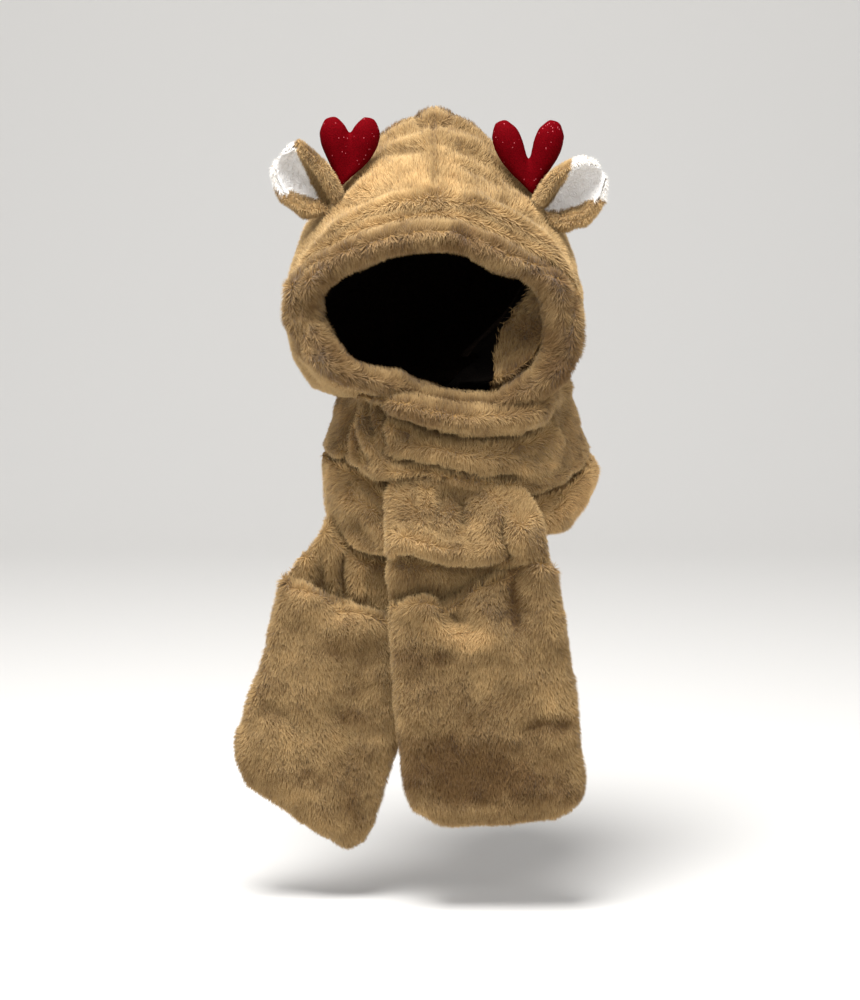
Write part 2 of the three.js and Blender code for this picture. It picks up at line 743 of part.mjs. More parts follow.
// Ears and antlers stand on the hood
for (const side of ["left", "right"]) {
  const ear = earPlaces[side];
  const clear = hoodFilled.add(antlerForm(antlerPlaces[side], gap));
  const outer = earForm(ear, 0, earWall).subtract(clear);
  const inner = earForm(ear, earWall + gap + earLiningWall, earWall + gap).subtract(clear);
  scarf.add(piece(`ear_${side}`, outer, "tan"));
  scarf.add(piece(`ear_lining_${side}`, inner, "white"));
  const antler = antlerForm(antlerPlaces[side], 0).subtract(hoodFilled);
  scarf.add(piece(`antler_${side}`, antler, "red"));
}

export default scarf;
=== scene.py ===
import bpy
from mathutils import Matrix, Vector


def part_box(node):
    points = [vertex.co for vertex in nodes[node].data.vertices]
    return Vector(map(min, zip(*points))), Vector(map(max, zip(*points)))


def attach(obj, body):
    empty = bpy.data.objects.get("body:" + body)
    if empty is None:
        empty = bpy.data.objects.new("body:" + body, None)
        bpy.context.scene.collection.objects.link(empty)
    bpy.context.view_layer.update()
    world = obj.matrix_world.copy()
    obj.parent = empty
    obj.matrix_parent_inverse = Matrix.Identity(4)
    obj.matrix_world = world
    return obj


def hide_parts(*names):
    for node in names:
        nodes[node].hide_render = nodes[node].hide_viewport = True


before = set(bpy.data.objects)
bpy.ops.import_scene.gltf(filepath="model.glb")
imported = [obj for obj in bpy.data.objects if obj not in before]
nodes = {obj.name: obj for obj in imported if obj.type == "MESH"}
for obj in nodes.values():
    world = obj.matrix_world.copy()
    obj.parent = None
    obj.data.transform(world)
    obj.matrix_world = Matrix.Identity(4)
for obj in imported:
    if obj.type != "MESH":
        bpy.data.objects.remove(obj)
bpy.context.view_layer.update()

import math
import bmesh
import bpy
from mathutils import Vector, noise
from mathutils.bvhtree import BVHTree

# Plush hood with ears, antlers and two pocket ends. Metres, +Z up, the face opening towards -Y.
scene = bpy.context.scene

# camera and light come first, so that every later look is judged in them
studio = {
    "cameraAt": (-0.004, -2.9708, 0.0365), "cameraTurn": 82, "lens": 108,
    "floorLevel": -0.765, "floorAhead": 3.2, "floorWide": 9.0,
    "sweepFrom": 2.1, "sweepRadius": 1.2, "wallHeight": 3.6,
    "topPower": 92, "topAt": (-0.3, -0.6, 1.75), "topSize": 1.3,
    "keyPower": 9, "keyAt": (-1.3, -2.2, 0.9), "keySize": 1.2,
    "fillPower": 9, "fillAt": (1.7, -1.3, 0.75), "fillSize": 1.4,
    "skyStrength": 0.42, "skyColour": (0.97, 0.98, 1.0),
}


def addLamp(name, place, size, power):
    lamp = bpy.data.lights.new(name, "AREA")
    lamp.shape = "DISK"
    lamp.size = size
    lamp.energy = power
    holder = bpy.data.objects.new(name, lamp)
    holder.location = place
    aim = Vector((0, 0, -0.35)) - Vector(place)
    holder.rotation_euler = aim.to_track_quat("-Z", "Y").to_euler()
    scene.collection.objects.link(holder)


def setStudio():
    view = bpy.data.cameras.new("photoView")
    view.sensor_fit = "VERTICAL"
    view.sensor_height = 36
    view.lens = studio["lens"]
    view.clip_end = 50
    holder = bpy.data.objects.new("photoView", view)
    holder.location = studio["cameraAt"]
    holder.rotation_euler = (math.radians(studio["cameraTurn"]), 0, 0)
    scene.collection.objects.link(holder)
    scene.camera = holder
    for name in ("key", "fill", "top"):
        addLamp(name + "Lamp", studio[name + "At"], studio[name + "Size"], studio[name + "Power"])
    sky = bpy.data.worlds.new("softSky")
    sky.use_nodes = True
    back = sky.node_tree.nodes["Background"]
    back.inputs["Color"].default_value = (*studio["skyColour"], 1)
    back.inputs["Strength"].default_value = studio["skyStrength"]
    scene.world = sky
    scene.view_settings.view_transform = "Standard"


setStudio()
print("studio set")


# materials
def startMaterial(name, roughness, sheen=0.0):
    material = bpy.data.materials.new(name)
    material.use_nodes = True
    shader = material.node_tree.nodes["Principled BSDF"]
    shader.inputs["Roughness"].default_value = roughness
    shader.inputs["Specular IOR Level"].default_value = 0.25
    shader.inputs["Sheen Weight"].default_value = sheen
    return material, material.node_tree, shader


def addNode(tree, kind, **settings):
    node = tree.nodes.new(kind)
    for key, value in settings.items():
        setattr(node, key, value)
    return node


def ramp(tree, source, stops):
    # stops: (place, colour) pairs
    node = addNode(tree, "ShaderNodeValToRGB")
    tree.links.new(source, node.inputs["Fac"])
    while len(node.color_ramp.elements) < len(stops):
        node.color_ramp.elements.new(0.5)
    for element, (place, colour) in zip(node.color_ramp.elements, stops):
        element.position = place
        element.color = (*colour, 1)
    return node.outputs["Color"]


def noiseOf(tree, scale, detail, roughness=0.55, distortion=0.0):
    place = addNode(tree, "ShaderNodeTexCoord")
    node = addNode(tree, "ShaderNodeTexNoise")
    tree.links.new(place.outputs["Object"], node.inputs["Vector"])
    node.inputs["Scale"].default_value = scale
    node.inputs["Detail"].default_value = detail
    node.inputs["Roughness"].default_value = roughness
    node.inputs["Distortion"].default_value = distortion
    return node.outputs["Fac"]


def mixColours(tree, how, factor, first, second):
    node = addNode(tree, "ShaderNodeMix", data_type="RGBA", blend_type=how)
    for name, value in (("Factor", factor), ("A", first), ("B", second)):
        isColour = name != "Factor"
        named = [s for s in node.inputs if s.name == name and s.enabled]
        socket = [s for s in named if (s.type == "RGBA") == isColour][0]
        if isinstance(value, (int, float)):
            socket.default_value = value
        elif isinstance(value, tuple):
            socket.default_value = (*value, 1)
        else:
            tree.links.new(value, socket)
    return [s for s in node.outputs if s.type == "RGBA"][0]


def bump(tree, shader, height, distance, strength=1.0):
    node = addNode(tree, "ShaderNodeBump")
    node.inputs["Distance"].default_value = distance
    node.inputs["Strength"].default_value = strength
    tree.links.new(height, node.inputs["Height"])
    tree.links.new(node.outputs["Normal"], shader.inputs["Normal"])


plushLook = {
    "root": (0.26, 0.148, 0.048), "middle": (0.4, 0.248, 0.094), "tip": (0.56, 0.385, 0.175),
    "darkTint": (0.4, 0.32, 0.22), "lightTint": (1.5, 1.5, 1.54),
    # the near-black of the hood's hollow is painted shade
    "dusk": (0.002, 0.0012, 0.0008), "white": (1.0, 0.985, 0.95), "whiteShade": (0.94, 0.91, 0.87),
}


def makeStrandMaterial(name, look):
    material, tree, shader = startMaterial(name, 0.72, 0.3)
    along = addNode(tree, "ShaderNodeAttribute", attribute_name="along")
    tone = addNode(tree, "ShaderNodeAttribute", attribute_name="tone")
    base = ramp(tree, along.outputs["Fac"], [(0.0, look["root"]), (0.45, look["middle"]), (1.0, look["tip"])])
    tints = [(0.0, look["darkTint"]), (0.5, (1, 1, 1)), (1.0, look["lightTint"])]
    tint = ramp(tree, tone.outputs["Fac"], tints)
    tan = mixColours(tree, "MULTIPLY", 1.0, base, tint)
    pale = addNode(tree, "ShaderNodeAttribute", attribute_name="pale")
    white = ramp(tree, along.outputs["Fac"], [(0.0, look["whiteShade"]), (0.5, look["white"])])
    tree.links.new(mixColours(tree, "MIX", pale.outputs["Fac"], tan, white), shader.inputs["Base Color"])
    return material


def makeSkinMaterial(name, dark, light, scale=420):
    # the dense pile under the strands
    material, tree, shader = startMaterial(name, 0.9)
    pile = noiseOf(tree, scale, 4, 0.7)
    patches = noiseOf(tree, 26, 2)
    fine = ramp(tree, pile, [(0.32, dark), (0.72, light)])
    wide = ramp(tree, patches, [(0.3, (0.8, 0.78, 0.76)), (0.7, (1.1, 1.1, 1.1))])
    tan = mixColours(tree, "MULTIPLY", 1.0, fine, wide)
    pale = addNode(tree, "ShaderNodeAttribute", attribute_name="pale")
    dusk = addNode(tree, "ShaderNodeAttribute", attribute_name="dusk")
    shown = mixColours(tree, "MIX", pale.outputs["Fac"], tan, plushLook["white"])
    # the hood's bare inner wall is painted near-black as shade
    shown = mixColours(tree, "MIX", dusk.outputs["Fac"], shown, plushLook["dusk"])
    tree.links.new(shown, shader.inputs["Base Color"])
    shader.inputs["Specular IOR Level"].default_value = 0.04
    bump(tree, shader, pile, 0.0016)
    return material


def makeFeltMaterial():
    material, tree, shader = startMaterial("redGlitterFelt", 0.8)
    shader.inputs["Specular IOR Level"].default_value = 0.02
    fibres = noiseOf(tree, 900, 4, 0.7)
    felt = ramp(tree, fibres, [(0.3, (0.065, 0.0002, 0.0012)), (0.75, (0.19, 0.0006, 0.004))])
    place = addNode(tree, "ShaderNodeTexCoord")
    flakes = addNode(tree, "ShaderNodeTexVoronoi", feature="F1")
    flakes.inputs["Scale"].default_value = 620
    tree.links.new(place.outputs["Object"], flakes.inputs["Vector"])
    pick = addNode(tree, "ShaderNodeSeparateColor")
    tree.links.new(flakes.outputs["Color"], pick.inputs["Color"])
    shiny = addNode(tree, "ShaderNodeMath", operation="GREATER_THAN")
    shiny.inputs[1].default_value = 0.95
    tree.links.new(pick.outputs["Red"], shiny.inputs[0])
    near = addNode(tree, "ShaderNodeMath", operation="LESS_THAN")
    near.inputs[1].default_value = 0.3
    tree.links.new(flakes.outputs["Distance"], near.inputs[0])
    both = addNode(tree, "ShaderNodeMath", operation="MULTIPLY")
    tree.links.new(shiny.outputs[0], both.inputs[0])
    tree.links.new(near.outputs[0], both.inputs[1])
    sparkle = mixColours(tree, "MIX", both.outputs[0], felt, (0.6, 0.12, 0.14))
    tree.links.new(sparkle, shader.inputs["Base Color"])
    rough = addNode(tree, "ShaderNodeMapRange")
    rough.inputs["To Min"].default_value = 0.7
    rough.inputs["To Max"].default_value = 0.22
    tree.links.new(both.outputs[0], rough.inputs["Value"])
    tree.links.new(rough.outputs["Result"], shader.inputs["Roughness"])
    bump(tree, shader, fibres, 0.0006)
    return material


def makeWhiteMaterial():
    material, tree, shader = startMaterial("whiteEarSatin", 0.55, 0.3)
    fine = noiseOf(tree, 700, 3, 0.6)
    crinkle = noiseOf(tree, 150, 4, 0.6, distortion=1.2)
    colour = ramp(tree, crinkle, [
        (0.3, (0.88, 0.85, 0.81)), (0.48, (0.97, 0.955, 0.93)), (0.75, (1.0, 0.99, 0.97))])
    pale = addNode(tree, "ShaderNodeAttribute", attribute_name="pale")
    edged = mixColours(tree, "MIX", pale.outputs["Fac"], plushLook["middle"], colour)
    tree.links.new(edged, shader.inputs["Base Color"])
    height = mixColours(tree, "MIX", 0.22, crinkle, fine)
    bump(tree, shader, height, 0.004)
    return material


strandMaterial = makeStrandMaterial("tanPlushStrands", plushLook)
skinMaterial = makeSkinMaterial("tanPlushBed", (0.26, 0.15, 0.052), (0.42, 0.265, 0.108))
# the hood's lining is painted near-black as shade
hollowShadeMaterial = makeSkinMaterial("darkHoodLining", (0.0035, 0.002, 0.0012), (0.012, 0.0075, 0.005), 300)
feltMaterial = makeFeltMaterial()
whiteMaterial = makeWhiteMaterial()
print("materials made")


# soft bodies, each grown from the solids that hold its place
def link(name, mesh, material):
    piece = bpy.data.objects.new(name, mesh)
    scene.collection.objects.link(piece)
    piece.data.materials.clear()
    piece.data.materials.append(material)
    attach(piece, "root")
    return piece


def finished(piece):
    # the piece's mesh with its modifiers applied
    graph = bpy.context.evaluated_depsgraph_get()
    mesh = bpy.data.meshes.new_from_object(piece.evaluated_get(graph), depsgraph=graph)
    old = piece.data
    piece.modifiers.clear()
    piece.data = mesh
    bpy.data.meshes.remove(old)


def meshOf(shape, name):
    mesh = bpy.data.meshes.new(name)
    shape.to_mesh(mesh)
    shape.free()
    return mesh


def shadeSmooth(mesh):
    mesh.polygons.foreach_set("use_smooth", [True] * len(mesh.polygons))


def remeshed(piece, voxel, smoothing):
    # one closed skin of even faces, smoothed
    remesh = piece.modifiers.new("remesh", "REMESH")
    remesh.mode = "VOXEL"
    remesh.voxel_size = voxel
    smooth = piece.modifiers.new("smooth", "SMOOTH")
    smooth.factor = 0.5
    smooth.iterations = smoothing
    finished(piece)


def copyOf(nodeNames):
    shape = bmesh.new()
    for nodeName in nodeNames:
        shape.from_mesh(nodes[nodeName].data)
    bmesh.ops.remove_doubles(shape, verts=shape.verts, dist=0.00001)
    bmesh.ops.recalc_face_normals(shape, faces=shape.faces)
    return shape


def faded(value, start, end):
    # 0 up to the start and 1 from the end on
    return min(1.0, max(0.0, (value - start) / (end - start)))


def rowAt(rows, at):
    # the value between (place, value) rows, held level beyond the first and the last
    if at <= rows[0][0]:
        return rows[0][1]
    for (a, one), (b, two) in zip(rows, rows[1:]):
        if at <= b:
            return one + (two - one) * (at - a) / (b - a)
    return rows[-1][1]


# the photograph's middle, and its pixels for a metre seen from a metre away
photo = {"middle": (430, 500), "scale": 3000}


def pixelOf(place):
    # where a point lies in the photograph, in its pixels
    tilt = math.radians(90 - studio["cameraTurn"])
    away = place - Vector(studio["cameraAt"])
    depth = away.y * math.cos(tilt) - away.z * math.sin(tilt)
    rise = away.y * math.sin(tilt) + away.z * math.cos(tilt)
    middleX, middleY = photo["middle"]
    return middleX + photo["scale"] * away.x / depth, middleY - photo["scale"] * rise / depth


def nearLine(x, y, line):
    # distance from a line of points, which side of it (below is positive) and how far along, in pixels
    best = (1e9, 0.0, 0.0)
    passed, whole = 0.0, sum(math.dist(a, b) for a, b in zip(line, line[1:]))
    for (ax, ay), (bx, by) in zip(line, line[1:]):
        dx, dy = bx - ax, by - ay
        length = math.hypot(dx, dy)
        t = ((x - ax) * dx + (y - ay) * dy) / (length * length)
        held = min(1.0, max(0.0, t))
        off = math.hypot(x - ax - held * dx, y - ay - held * dy)
        if off < best[0]:
            side = (dx * (y - ay) - dy * (x - ax)) / length
            best = (off, side, (passed + held * length) / whole)
        passed += length
    return best


# a fold's painted shade for each mm of its depth
foldShade = {"crease": 0.075, "step": 0.06}


def foldMove(x, y, folds):
    # metres outwards and the painted shade that the folds give at a pixel
    move, dark = 0.0, 0.0
    for kind, rise, wide, line in folds:
        across, down = zip(*line)
        if not (min(across) - 4 * wide < x < max(across) + 4 * wide):
            continue
        if not (min(down) - 4 * wide < y < max(down) + 4 * wide):
            continue
        off, side, along = nearLine(x, y, line)
        ends = min(1.0, 0.25 + 5 * min(along, 1 - along))
        deep = rise / 1000
        if kind == "crease":
            move -= deep * math.exp(-(off / wide) ** 1.6) * ends
            # the groove is painted darker as shade
            dark += foldShade[kind] * rise * math.exp(-(off / wide * 1.3) ** 2) * ends
        elif kind == "ridge":
            move += deep * math.exp(-(off / wide) ** 2) * ends
        elif side > 0:
            beyond = max(0.0, off - wide * 0.4) / wide
            move -= deep * math.exp(-beyond ** 2) * ends
            # below the step the cloth is painted darker as shade
            dark += foldShade[kind] * rise * math.exp(-(off / wide * 0.9) ** 2) * ends
        else:
            move += 0.35 * deep * math.exp(-((off - wide * 1.4) / wide) ** 2) * ends
    return move, min(dark, 1.0)


# the folds that the photograph shows, in rows of kind, depth in mm, width in pixels, and line in pixels.
# A crease is a groove, a ridge stands up, and below the line of a step the cloth lies further back.
foldsSeen = {
    "hoodPlush": [
        ("crease", 3.5, 5, [(385, 137), (415, 127), (433, 123), (452, 123), (486, 137)]),
        ("crease", 3.5, 6, [(364, 158), (408, 146), (433, 151)]),
        ("crease", 4.5, 6, [(338, 209), (362, 200), (400, 193), (432, 190)]),
        ("crease", 3.5, 6, [(446, 144), (472, 152), (500, 167)]),
        ("crease", 3, 6, [(456, 162), (485, 173), (524, 189)]),
        ("crease", 4, 6, [(440, 190), (472, 193), (510, 208), (548, 226)]),
        ("crease", 3.5, 5, [(440, 208), (476, 212), (514, 232), (552, 252)]),
        ("crease", 4, 5, [(306, 250), (337, 234), (368, 220), (400, 212), (436, 209)]),
        ("crease", 3, 2.5, [(433, 106), (433, 150), (435, 214)]),
        ("ridge", 3.5, 11, [(414, 114), (433, 112), (454, 115)]),
        ("crease", 5, 3, [(433, 112), (433, 124)]),
        ("crease", 4, 2.5, [(422, 124), (410, 116)]),
        ("crease", 4, 2.5, [(444, 124), (456, 117)]),
    ],
    "rimPlush": [
        ("crease", 9, 4, [(326, 262), (318, 262), (304, 268), (297, 285)]),
        ("crease", 6, 3, [(297, 285), (296, 320), (299, 350), (306, 377)]),
        ("crease", 7, 4, [(566, 258), (577, 277), (576, 302), (568, 332)]),
        ("crease", 5, 4, [(530, 270), (548, 268), (566, 262)]),
        ("crease", 4, 5, [(308, 300), (306, 330), (318, 362)]),
        ("ridge", 4, 8, [(312, 276), (309, 300)]),
        ("crease", 4, 4, [(400, 224), (396, 246)]),
        ("crease", 4, 4, [(470, 224), (480, 250)]),
        ("crease", 4, 4, [(356, 236), (362, 258)]),
        ("crease", 6, 5, [(352, 384), (370, 386), (386, 400)]),
    ],
    "neckFoldsPlush": [
        ("ridge", 7, 10, [(384, 402), (420, 408), (470, 418), (520, 416), (553, 402)]),
        ("step", 17, 7, [(374, 396), (389, 412), (407, 418), (424, 426), (444, 431), (482, 435), (511, 434),
                         (533, 429), (551, 420), (560, 400)]),
        ("step", 15, 7, [(382, 449), (396, 456), (416, 459), (438, 462), (464, 468), (482, 473), (509, 473),
                         (536, 479), (551, 480)]),
        ("crease", 19, 4, [(345, 402), (350, 430), (357, 448), (365, 458)]),
        ("crease", 19, 4, [(369, 401), (379, 424), (384, 440), (382, 449)]),
        ("crease", 11, 3, [(358, 402), (368, 430), (374, 446)]),
        ("step", 9, 5, [(344, 479), (356, 485), (376, 484), (393, 481), (411, 477), (424, 474), (449, 481),
                        (471, 491)]),
        ("crease", 16, 4, [(340, 400), (336, 432), (339, 459), (346, 478)]),
        ("ridge", 8, 6, [(356, 408), (363, 436), (372, 454)]),
        ("ridge", 5, 7, [(390, 424), (386, 444)]),
        ("crease", 4, 4, [(493, 494), (510, 498), (531, 504)]),
        ("crease", 5, 9, [(566, 400), (575, 440), (560, 475)]),
    ],
    "neckLoopPlush": [
        ("crease", 10, 5, [(347, 478), (364, 490), (382, 508), (384, 522)]),
        ("crease", 5, 6, [(352, 515), (366, 528), (376, 545)]),
        ("crease", 8, 5, [(551, 499), (567, 481), (587, 461), (596, 450)]),
    ],
    "frontEndPlush": [
        ("crease", 10, 4, [(461, 496), (462, 512), (464, 530)]),
        ("crease", 5, 4, [(418, 488), (417, 505)]),
        ("crease", 5, 4, [(441, 492), (444, 508)]),
        ("ridge", 4, 8, [(430, 482), (429, 515)]),
        ("crease", 13, 4, [(506, 515), (502, 534), (507, 552), (514, 568)]),
        ("ridge", 5, 8, [(522, 520), (524, 545), (530, 565)]),
        ("step", 20, 9, [(384, 555), (404, 553), (424, 559), (444, 566), (467, 568), (489, 566), (504, 559)]),
    ],
    "frontPocketPlush": [
        ("crease", 10, 11, [(444, 598), (452, 616), (464, 630)]),
        ("ridge", 7, 13, [(398, 608), (424, 606), (440, 622), (462, 646)]),
        ("ridge", 4, 12, [(474, 604), (484, 632), (476, 650)]),
        ("crease", 7, 8, [(511, 580), (514, 605), (522, 632)]),
        ("ridge", 5, 12, [(538, 574), (548, 610), (556, 650)]),
        ("ridge", 4, 14, [(482, 600), (500, 640), (530, 690)]),
        ("crease", 3, 7, [(524, 729), (546, 722), (574, 726)]),
    ],
    "rearEndPlush": [
        ("crease", 12, 4, [(344, 552), (342, 575), (345, 600)]),
        ("crease", 7, 4, [(321, 560), (322, 580), (325, 600)]),
        ("ridge", 6, 8, [(305, 552), (304, 585)]),
        ("ridge", 6, 9, [(362, 562), (360, 598)]),
    ],
    "rearPocketPlush": [
        ("ridge", 4, 14, [(290, 600), (330, 618), (378, 640)]),
        ("crease", 4, 12, [(330, 700), (350, 740), (345, 780)]),
        ("crease", 4, 10, [(262, 700), (300, 730)]),
    ],
}

# how the pockets' mouths dip and rise: rows of pixel across and mm up, the mouth's line in pixels, how many
# pixels below it the wave reaches, and how fast it fades there
mouthWaves = {
    "frontPocketPlush": {
        "rows": [(384, 0), (425, 1), (443, -13), (456, -6), (475, 6), (502, 12), (522, 22), (538, 22),
                 (552, 12)],
        "line": ((384, 593), (552, 586)), "reach": 46, "fade": 1.5,
    },
    "rearPocketPlush": {
        "rows": [(284, 4), (292, -2), (306, 3), (322, 3), (340, -3), (355, 2), (370, 3), (388, 0)],
        "line": ((288, 583), (388, 624)), "reach": 40, "fade": 1,
    },
}


def waveAt(rows, x):
    # eased from row to row, in metres
    for (ax, az), (bx, bz) in zip(rows, rows[1:]):
        if x <= bx or bx == rows[-1][0]:
            share = faded(x, ax, bx)
            return (az + (bz - az) * share * share * (3 - 2 * share)) / 1000


def mouthLift(name, place):
    x, y = pixelOf(place)
    wave = mouthWaves[name]
    (startX, startY), (endX, endY) = wave["line"]
    line = startY + (endY - startY) * (x - startX) / (endX - startX)
    below = (y - line) / wave["reach"]
    return waveAt(wave["rows"], x) * min(1.0, max(0.0, 1 - below)) ** wave["fade"]


def addTo(shape, part):
    loose = meshOf(part, "loose")
    shape.from_mesh(loose)
    bpy.data.meshes.remove(loose)


# what closes the grooves between the solid's plain rings, so that only the seen creases are left
barrel = {
    "middle": (0.021, -0.012), "outer": 0.134, "inner": 0.112, "top": -0.264, "topFront": 0.0195,
    "foot": -0.323, "footFront": 0.015, "steps": 72, "behind": 0.014,
}


def neckBarrel(behind):
    shape = bmesh.new()
    rings = []
    for step in range(barrel["steps"]):
        turn = 2 * math.pi * step / barrel["steps"]
        ahead = max(0.0, -math.cos(turn))
        top, foot = barrel["top"] - barrel["topFront"] * ahead, barrel["foot"] - barrel["footFront"] * ahead
        rings.append([
            shape.verts.new((barrel["middle"][0] + radius * math.sin(turn),
                             barrel["middle"][1] + radius * math.cos(turn), level))
            for radius, level in ((barrel["outer"] - behind, top), (barrel["outer"] - behind, foot),
                                  (barrel["inner"], foot), (barrel["inner"], top))])
    for one, two in zip(rings, rings[1:] + rings[:1]):
        for a in range(4):
            b = (a + 1) % 4
            shape.faces.new((one[a], two[a], two[b], one[b]))
    bmesh.ops.recalc_face_normals(shape, faces=shape.faces)
    return shape


# how deep a body's hidden stretch lies beneath its neighbour, and how far it runs on
beneath = {"hoodPlush": 0.009, "others": 0.005, "runsOn": 0.03}


def hiddenPart(name, under, nodeNames):
    # a sunk copy of the neighbours, cut off a little way past the body's own solids
    part = copyOf(under)
    low, high = zip(*(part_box(n) for n in nodeNames))
    low = Vector([min(v[i] for v in low) - beneath["runsOn"] for i in range(3)])
    high = Vector([max(v[i] for v in high) + beneath["runsOn"] for i in range(3)])
    part.normal_update()
    for vert in part.verts:
        vert.co -= vert.normal * beneath.get(name, beneath["others"])
    for corner, sign in ((low, -1), (high, 1)):
        for axis in range(3):
            way = Vector([sign if i == axis else 0 for i in range(3)])
            bmesh.ops.bisect_plane(
                part, geom=part.verts[:] + part.edges[:] + part.faces[:],
                plane_co=corner, plane_no=way, clear_outer=True)
            edges = [e for e in part.edges if e.is_boundary]
            if edges:
                bmesh.ops.holes_fill(part, edges=edges, sides=0)
    return part


def softBody(name, nodeNames, under, voxel, smoothing, sunk, thin):
    shape = bmesh.new()
    addTo(shape, copyOf(nodeNames))
    if under:
        addTo(shape, hiddenPart(name, under, nodeNames))
    if "neck" in name:
        addTo(shape, neckBarrel(0.0 if "Folds" in name else barrel["behind"]))
    piece = link(name, meshOf(shape, name), skinMaterial)
    remeshed(piece, voxel, smoothing)
    shapeBody(piece, foldsSeen.get(name, []), sunk)
    fewer = piece.modifiers.new("fewer", "DECIMATE")
    fewer.ratio = thin
    finished(piece)
    shadeSmooth(piece.data)
    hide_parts(*nodeNames)
    return piece


def softNoise(place, size, seed=0.0):
    return noise.noise(place / size + Vector((seed, seed * 1.7, seed * 0.6)))


# where the tan plush ends inside the hood and the near-black painted shade of its lining begins: pixel down,
# and pixel across
hollowShadeLine = [(278, 540), (285, 533), (295, 527), (310, 515), (330, 503), (350, 497), (380, 494), (400, 488)]
# the part of the inner wall that is painted near-black as shade: pixels across and down, and metres back
hollowShadeView = {"across": (430, 542), "down": (270, 393), "back": (-0.15, 0.07)}
hoodMiddle = Vector((0, 0.0, -0.17))


def inHollowShade(place):
    x, y = pixelOf(place)
    return x < rowAt(hollowShadeLine, y)


def inHollowShadeView(place):
    seen = {"across": pixelOf(place)[0], "down": pixelOf(place)[1], "back": place.y}
    return all(low < seen[way] < high for way, (low, high) in hollowShadeView.items()) and inHollowShade(place)


def insideHood(place, normal):
    away = place - hoodMiddle
    return normal.dot(away) < -0.3 * away.length


lumpSizes = {"wide": 0.045, "wideRise": 0.0035, "small": 0.016, "smallRise": 0.0013}
# the inner wall stands up to the lining painted near-black as shade from here back, and a pocket's back lies
# on its end
bedRise = {"innerWall": 0.001, "innerFrom": -0.1, "pocketBack": 0.0012, "pocketFade": (0.1, 0.6)}
# the crown swells a little behind the rim
hoodPuff = {"at": -0.112, "wide": 0.022, "deep": 0.009, "above": (-0.16, -0.12)}


def bedMove(name, place, normal, sunk, inside):
    # out along the normal: the bed lies lower by the pile's height, and has soft lumps
    move = -sunk
    if inside:
        if place.y > bedRise["innerFrom"] and (place.x < 0 or inHollowShade(place)):
            move = bedRise["innerWall"]
    elif sunk > 0.002:
        move += lumpSizes["wideRise"] * softNoise(place, lumpSizes["wide"])
        move += lumpSizes["smallRise"] * softNoise(place, lumpSizes["small"], 3.0)
    if "Pocket" in name:
        move += (sunk + bedRise["pocketBack"]) * faded(normal.y, *bedRise["pocketFade"])
    if name == "hoodPlush" and not inside:
        near = math.exp(-((place.y - hoodPuff["at"]) / hoodPuff["wide"]) ** 2)
        move += hoodPuff["deep"] * near * faded(place.z, *hoodPuff["above"])
    return move


def ownMove(name, place, normal):
    # what one body does beside its folds: a mouth's wave, the rim's lip, what lies behind or draws in
    whole = Vector((0, 0, 0))
    if name == "frontPocketPlush" or name == "rearPocketPlush" and normal.y < 0.5:
        whole.z += mouthLift(name, place)
    if name == "rimPlush":
        whole.z += rimDrop(place)
    if name == "rearEndPlush":
        whole += rearTopBack(place)
    if "neck" in name:
        whole += neckDraw(place)
    return whole


def shapeBody(piece, folds, sunk):
    # gives a body its bed, folds and soft lumps, and keeps the painted shade of its creases
    toCamera = (Vector(studio["cameraAt"]) - Vector((0, 0, -0.4))).normalized()
    shape = bmesh.new()
    shape.from_mesh(piece.data)
    shape.normal_update()
    moves, darks = [], []
    for vert in shape.verts:
        place, normal = vert.co, vert.normal
        inside = piece.name == "hoodPlush" and insideHood(place, normal)
        move, dark = bedMove(piece.name, place, normal, sunk, inside), 0.0
        facing = normal.dot(toCamera)
        if folds and facing > -0.1 and not inside:
            out, dark = foldMove(*pixelOf(place), folds)
            move += out * min(1.0, 0.35 + facing)
        whole = normal * move + edgePull(place, piece.name) + ownMove(piece.name, place, normal)
        moves.append((vert, whole))
        darks.append(dark)
    for vert, move in moves:
        vert.co += move
    # the creases' painted shade, kept on the vertices
    layer = shape.verts.layers.float.new("dark")
    for vert, dark in zip(shape.verts, darks):
        vert[layer] = dark
    shape.to_mesh(piece.data)
    shape.free()


# the neck draws in towards its top at the sides and the back: height, and share of its own reach
neckTaper = [(-0.345, 1.0), (-0.32, 0.975), (-0.28, 0.875), (-0.245, 0.79)]


def neckDraw(place):
    away = Vector((place.x - barrel["middle"][0], place.y - barrel["middle"][1], 0))
    ahead = -away.y / max(away.length, 0.001)
    return away * (rowAt(neckTaper, place.z) - 1) * (1 - faded(ahead, 0.45, 0.85))


# the rim's foot is a thin lip that lies lower than its solid
rimFoot = {"from": 420, "to": 494, "fade": 22, "under": -0.2, "above": (-0.285, -0.265), "drop": 0.0085}


def rimDrop(place):
    x, y = pixelOf(place)
    aside = max(0.0, rimFoot["from"] - x, x - rimFoot["to"])
    if place.z > rimFoot["under"] or aside > rimFoot["fade"]:
        return 0.0
    return -rimFoot["drop"] * (1 - aside / rimFoot["fade"]) * faded(place.z, *rimFoot["above"])


# antlers narrow to their foot: pixel of the foot and of the notch between the lobes, share of width kept
antlerFoot = {
    "left": {"foot": (339, 186), "notch": (351, 138), "narrow": 0.42},
    "right": {"foot": (530, 190), "notch": (524, 150), "narrow": 0.5},
}


def antlerDraw(place, side):
    x, y = pixelOf(place)
    (footX, footY), (notchX, notchY) = antlerFoot[side]["foot"], antlerFoot[side]["notch"]
    down = faded(y, notchY, footY)
    middle = notchX + (footX - notchX) * down
    return Vector(((middle - x) / 1000 * (1 - antlerFoot[side]["narrow"]) * down * down, 0, 0))


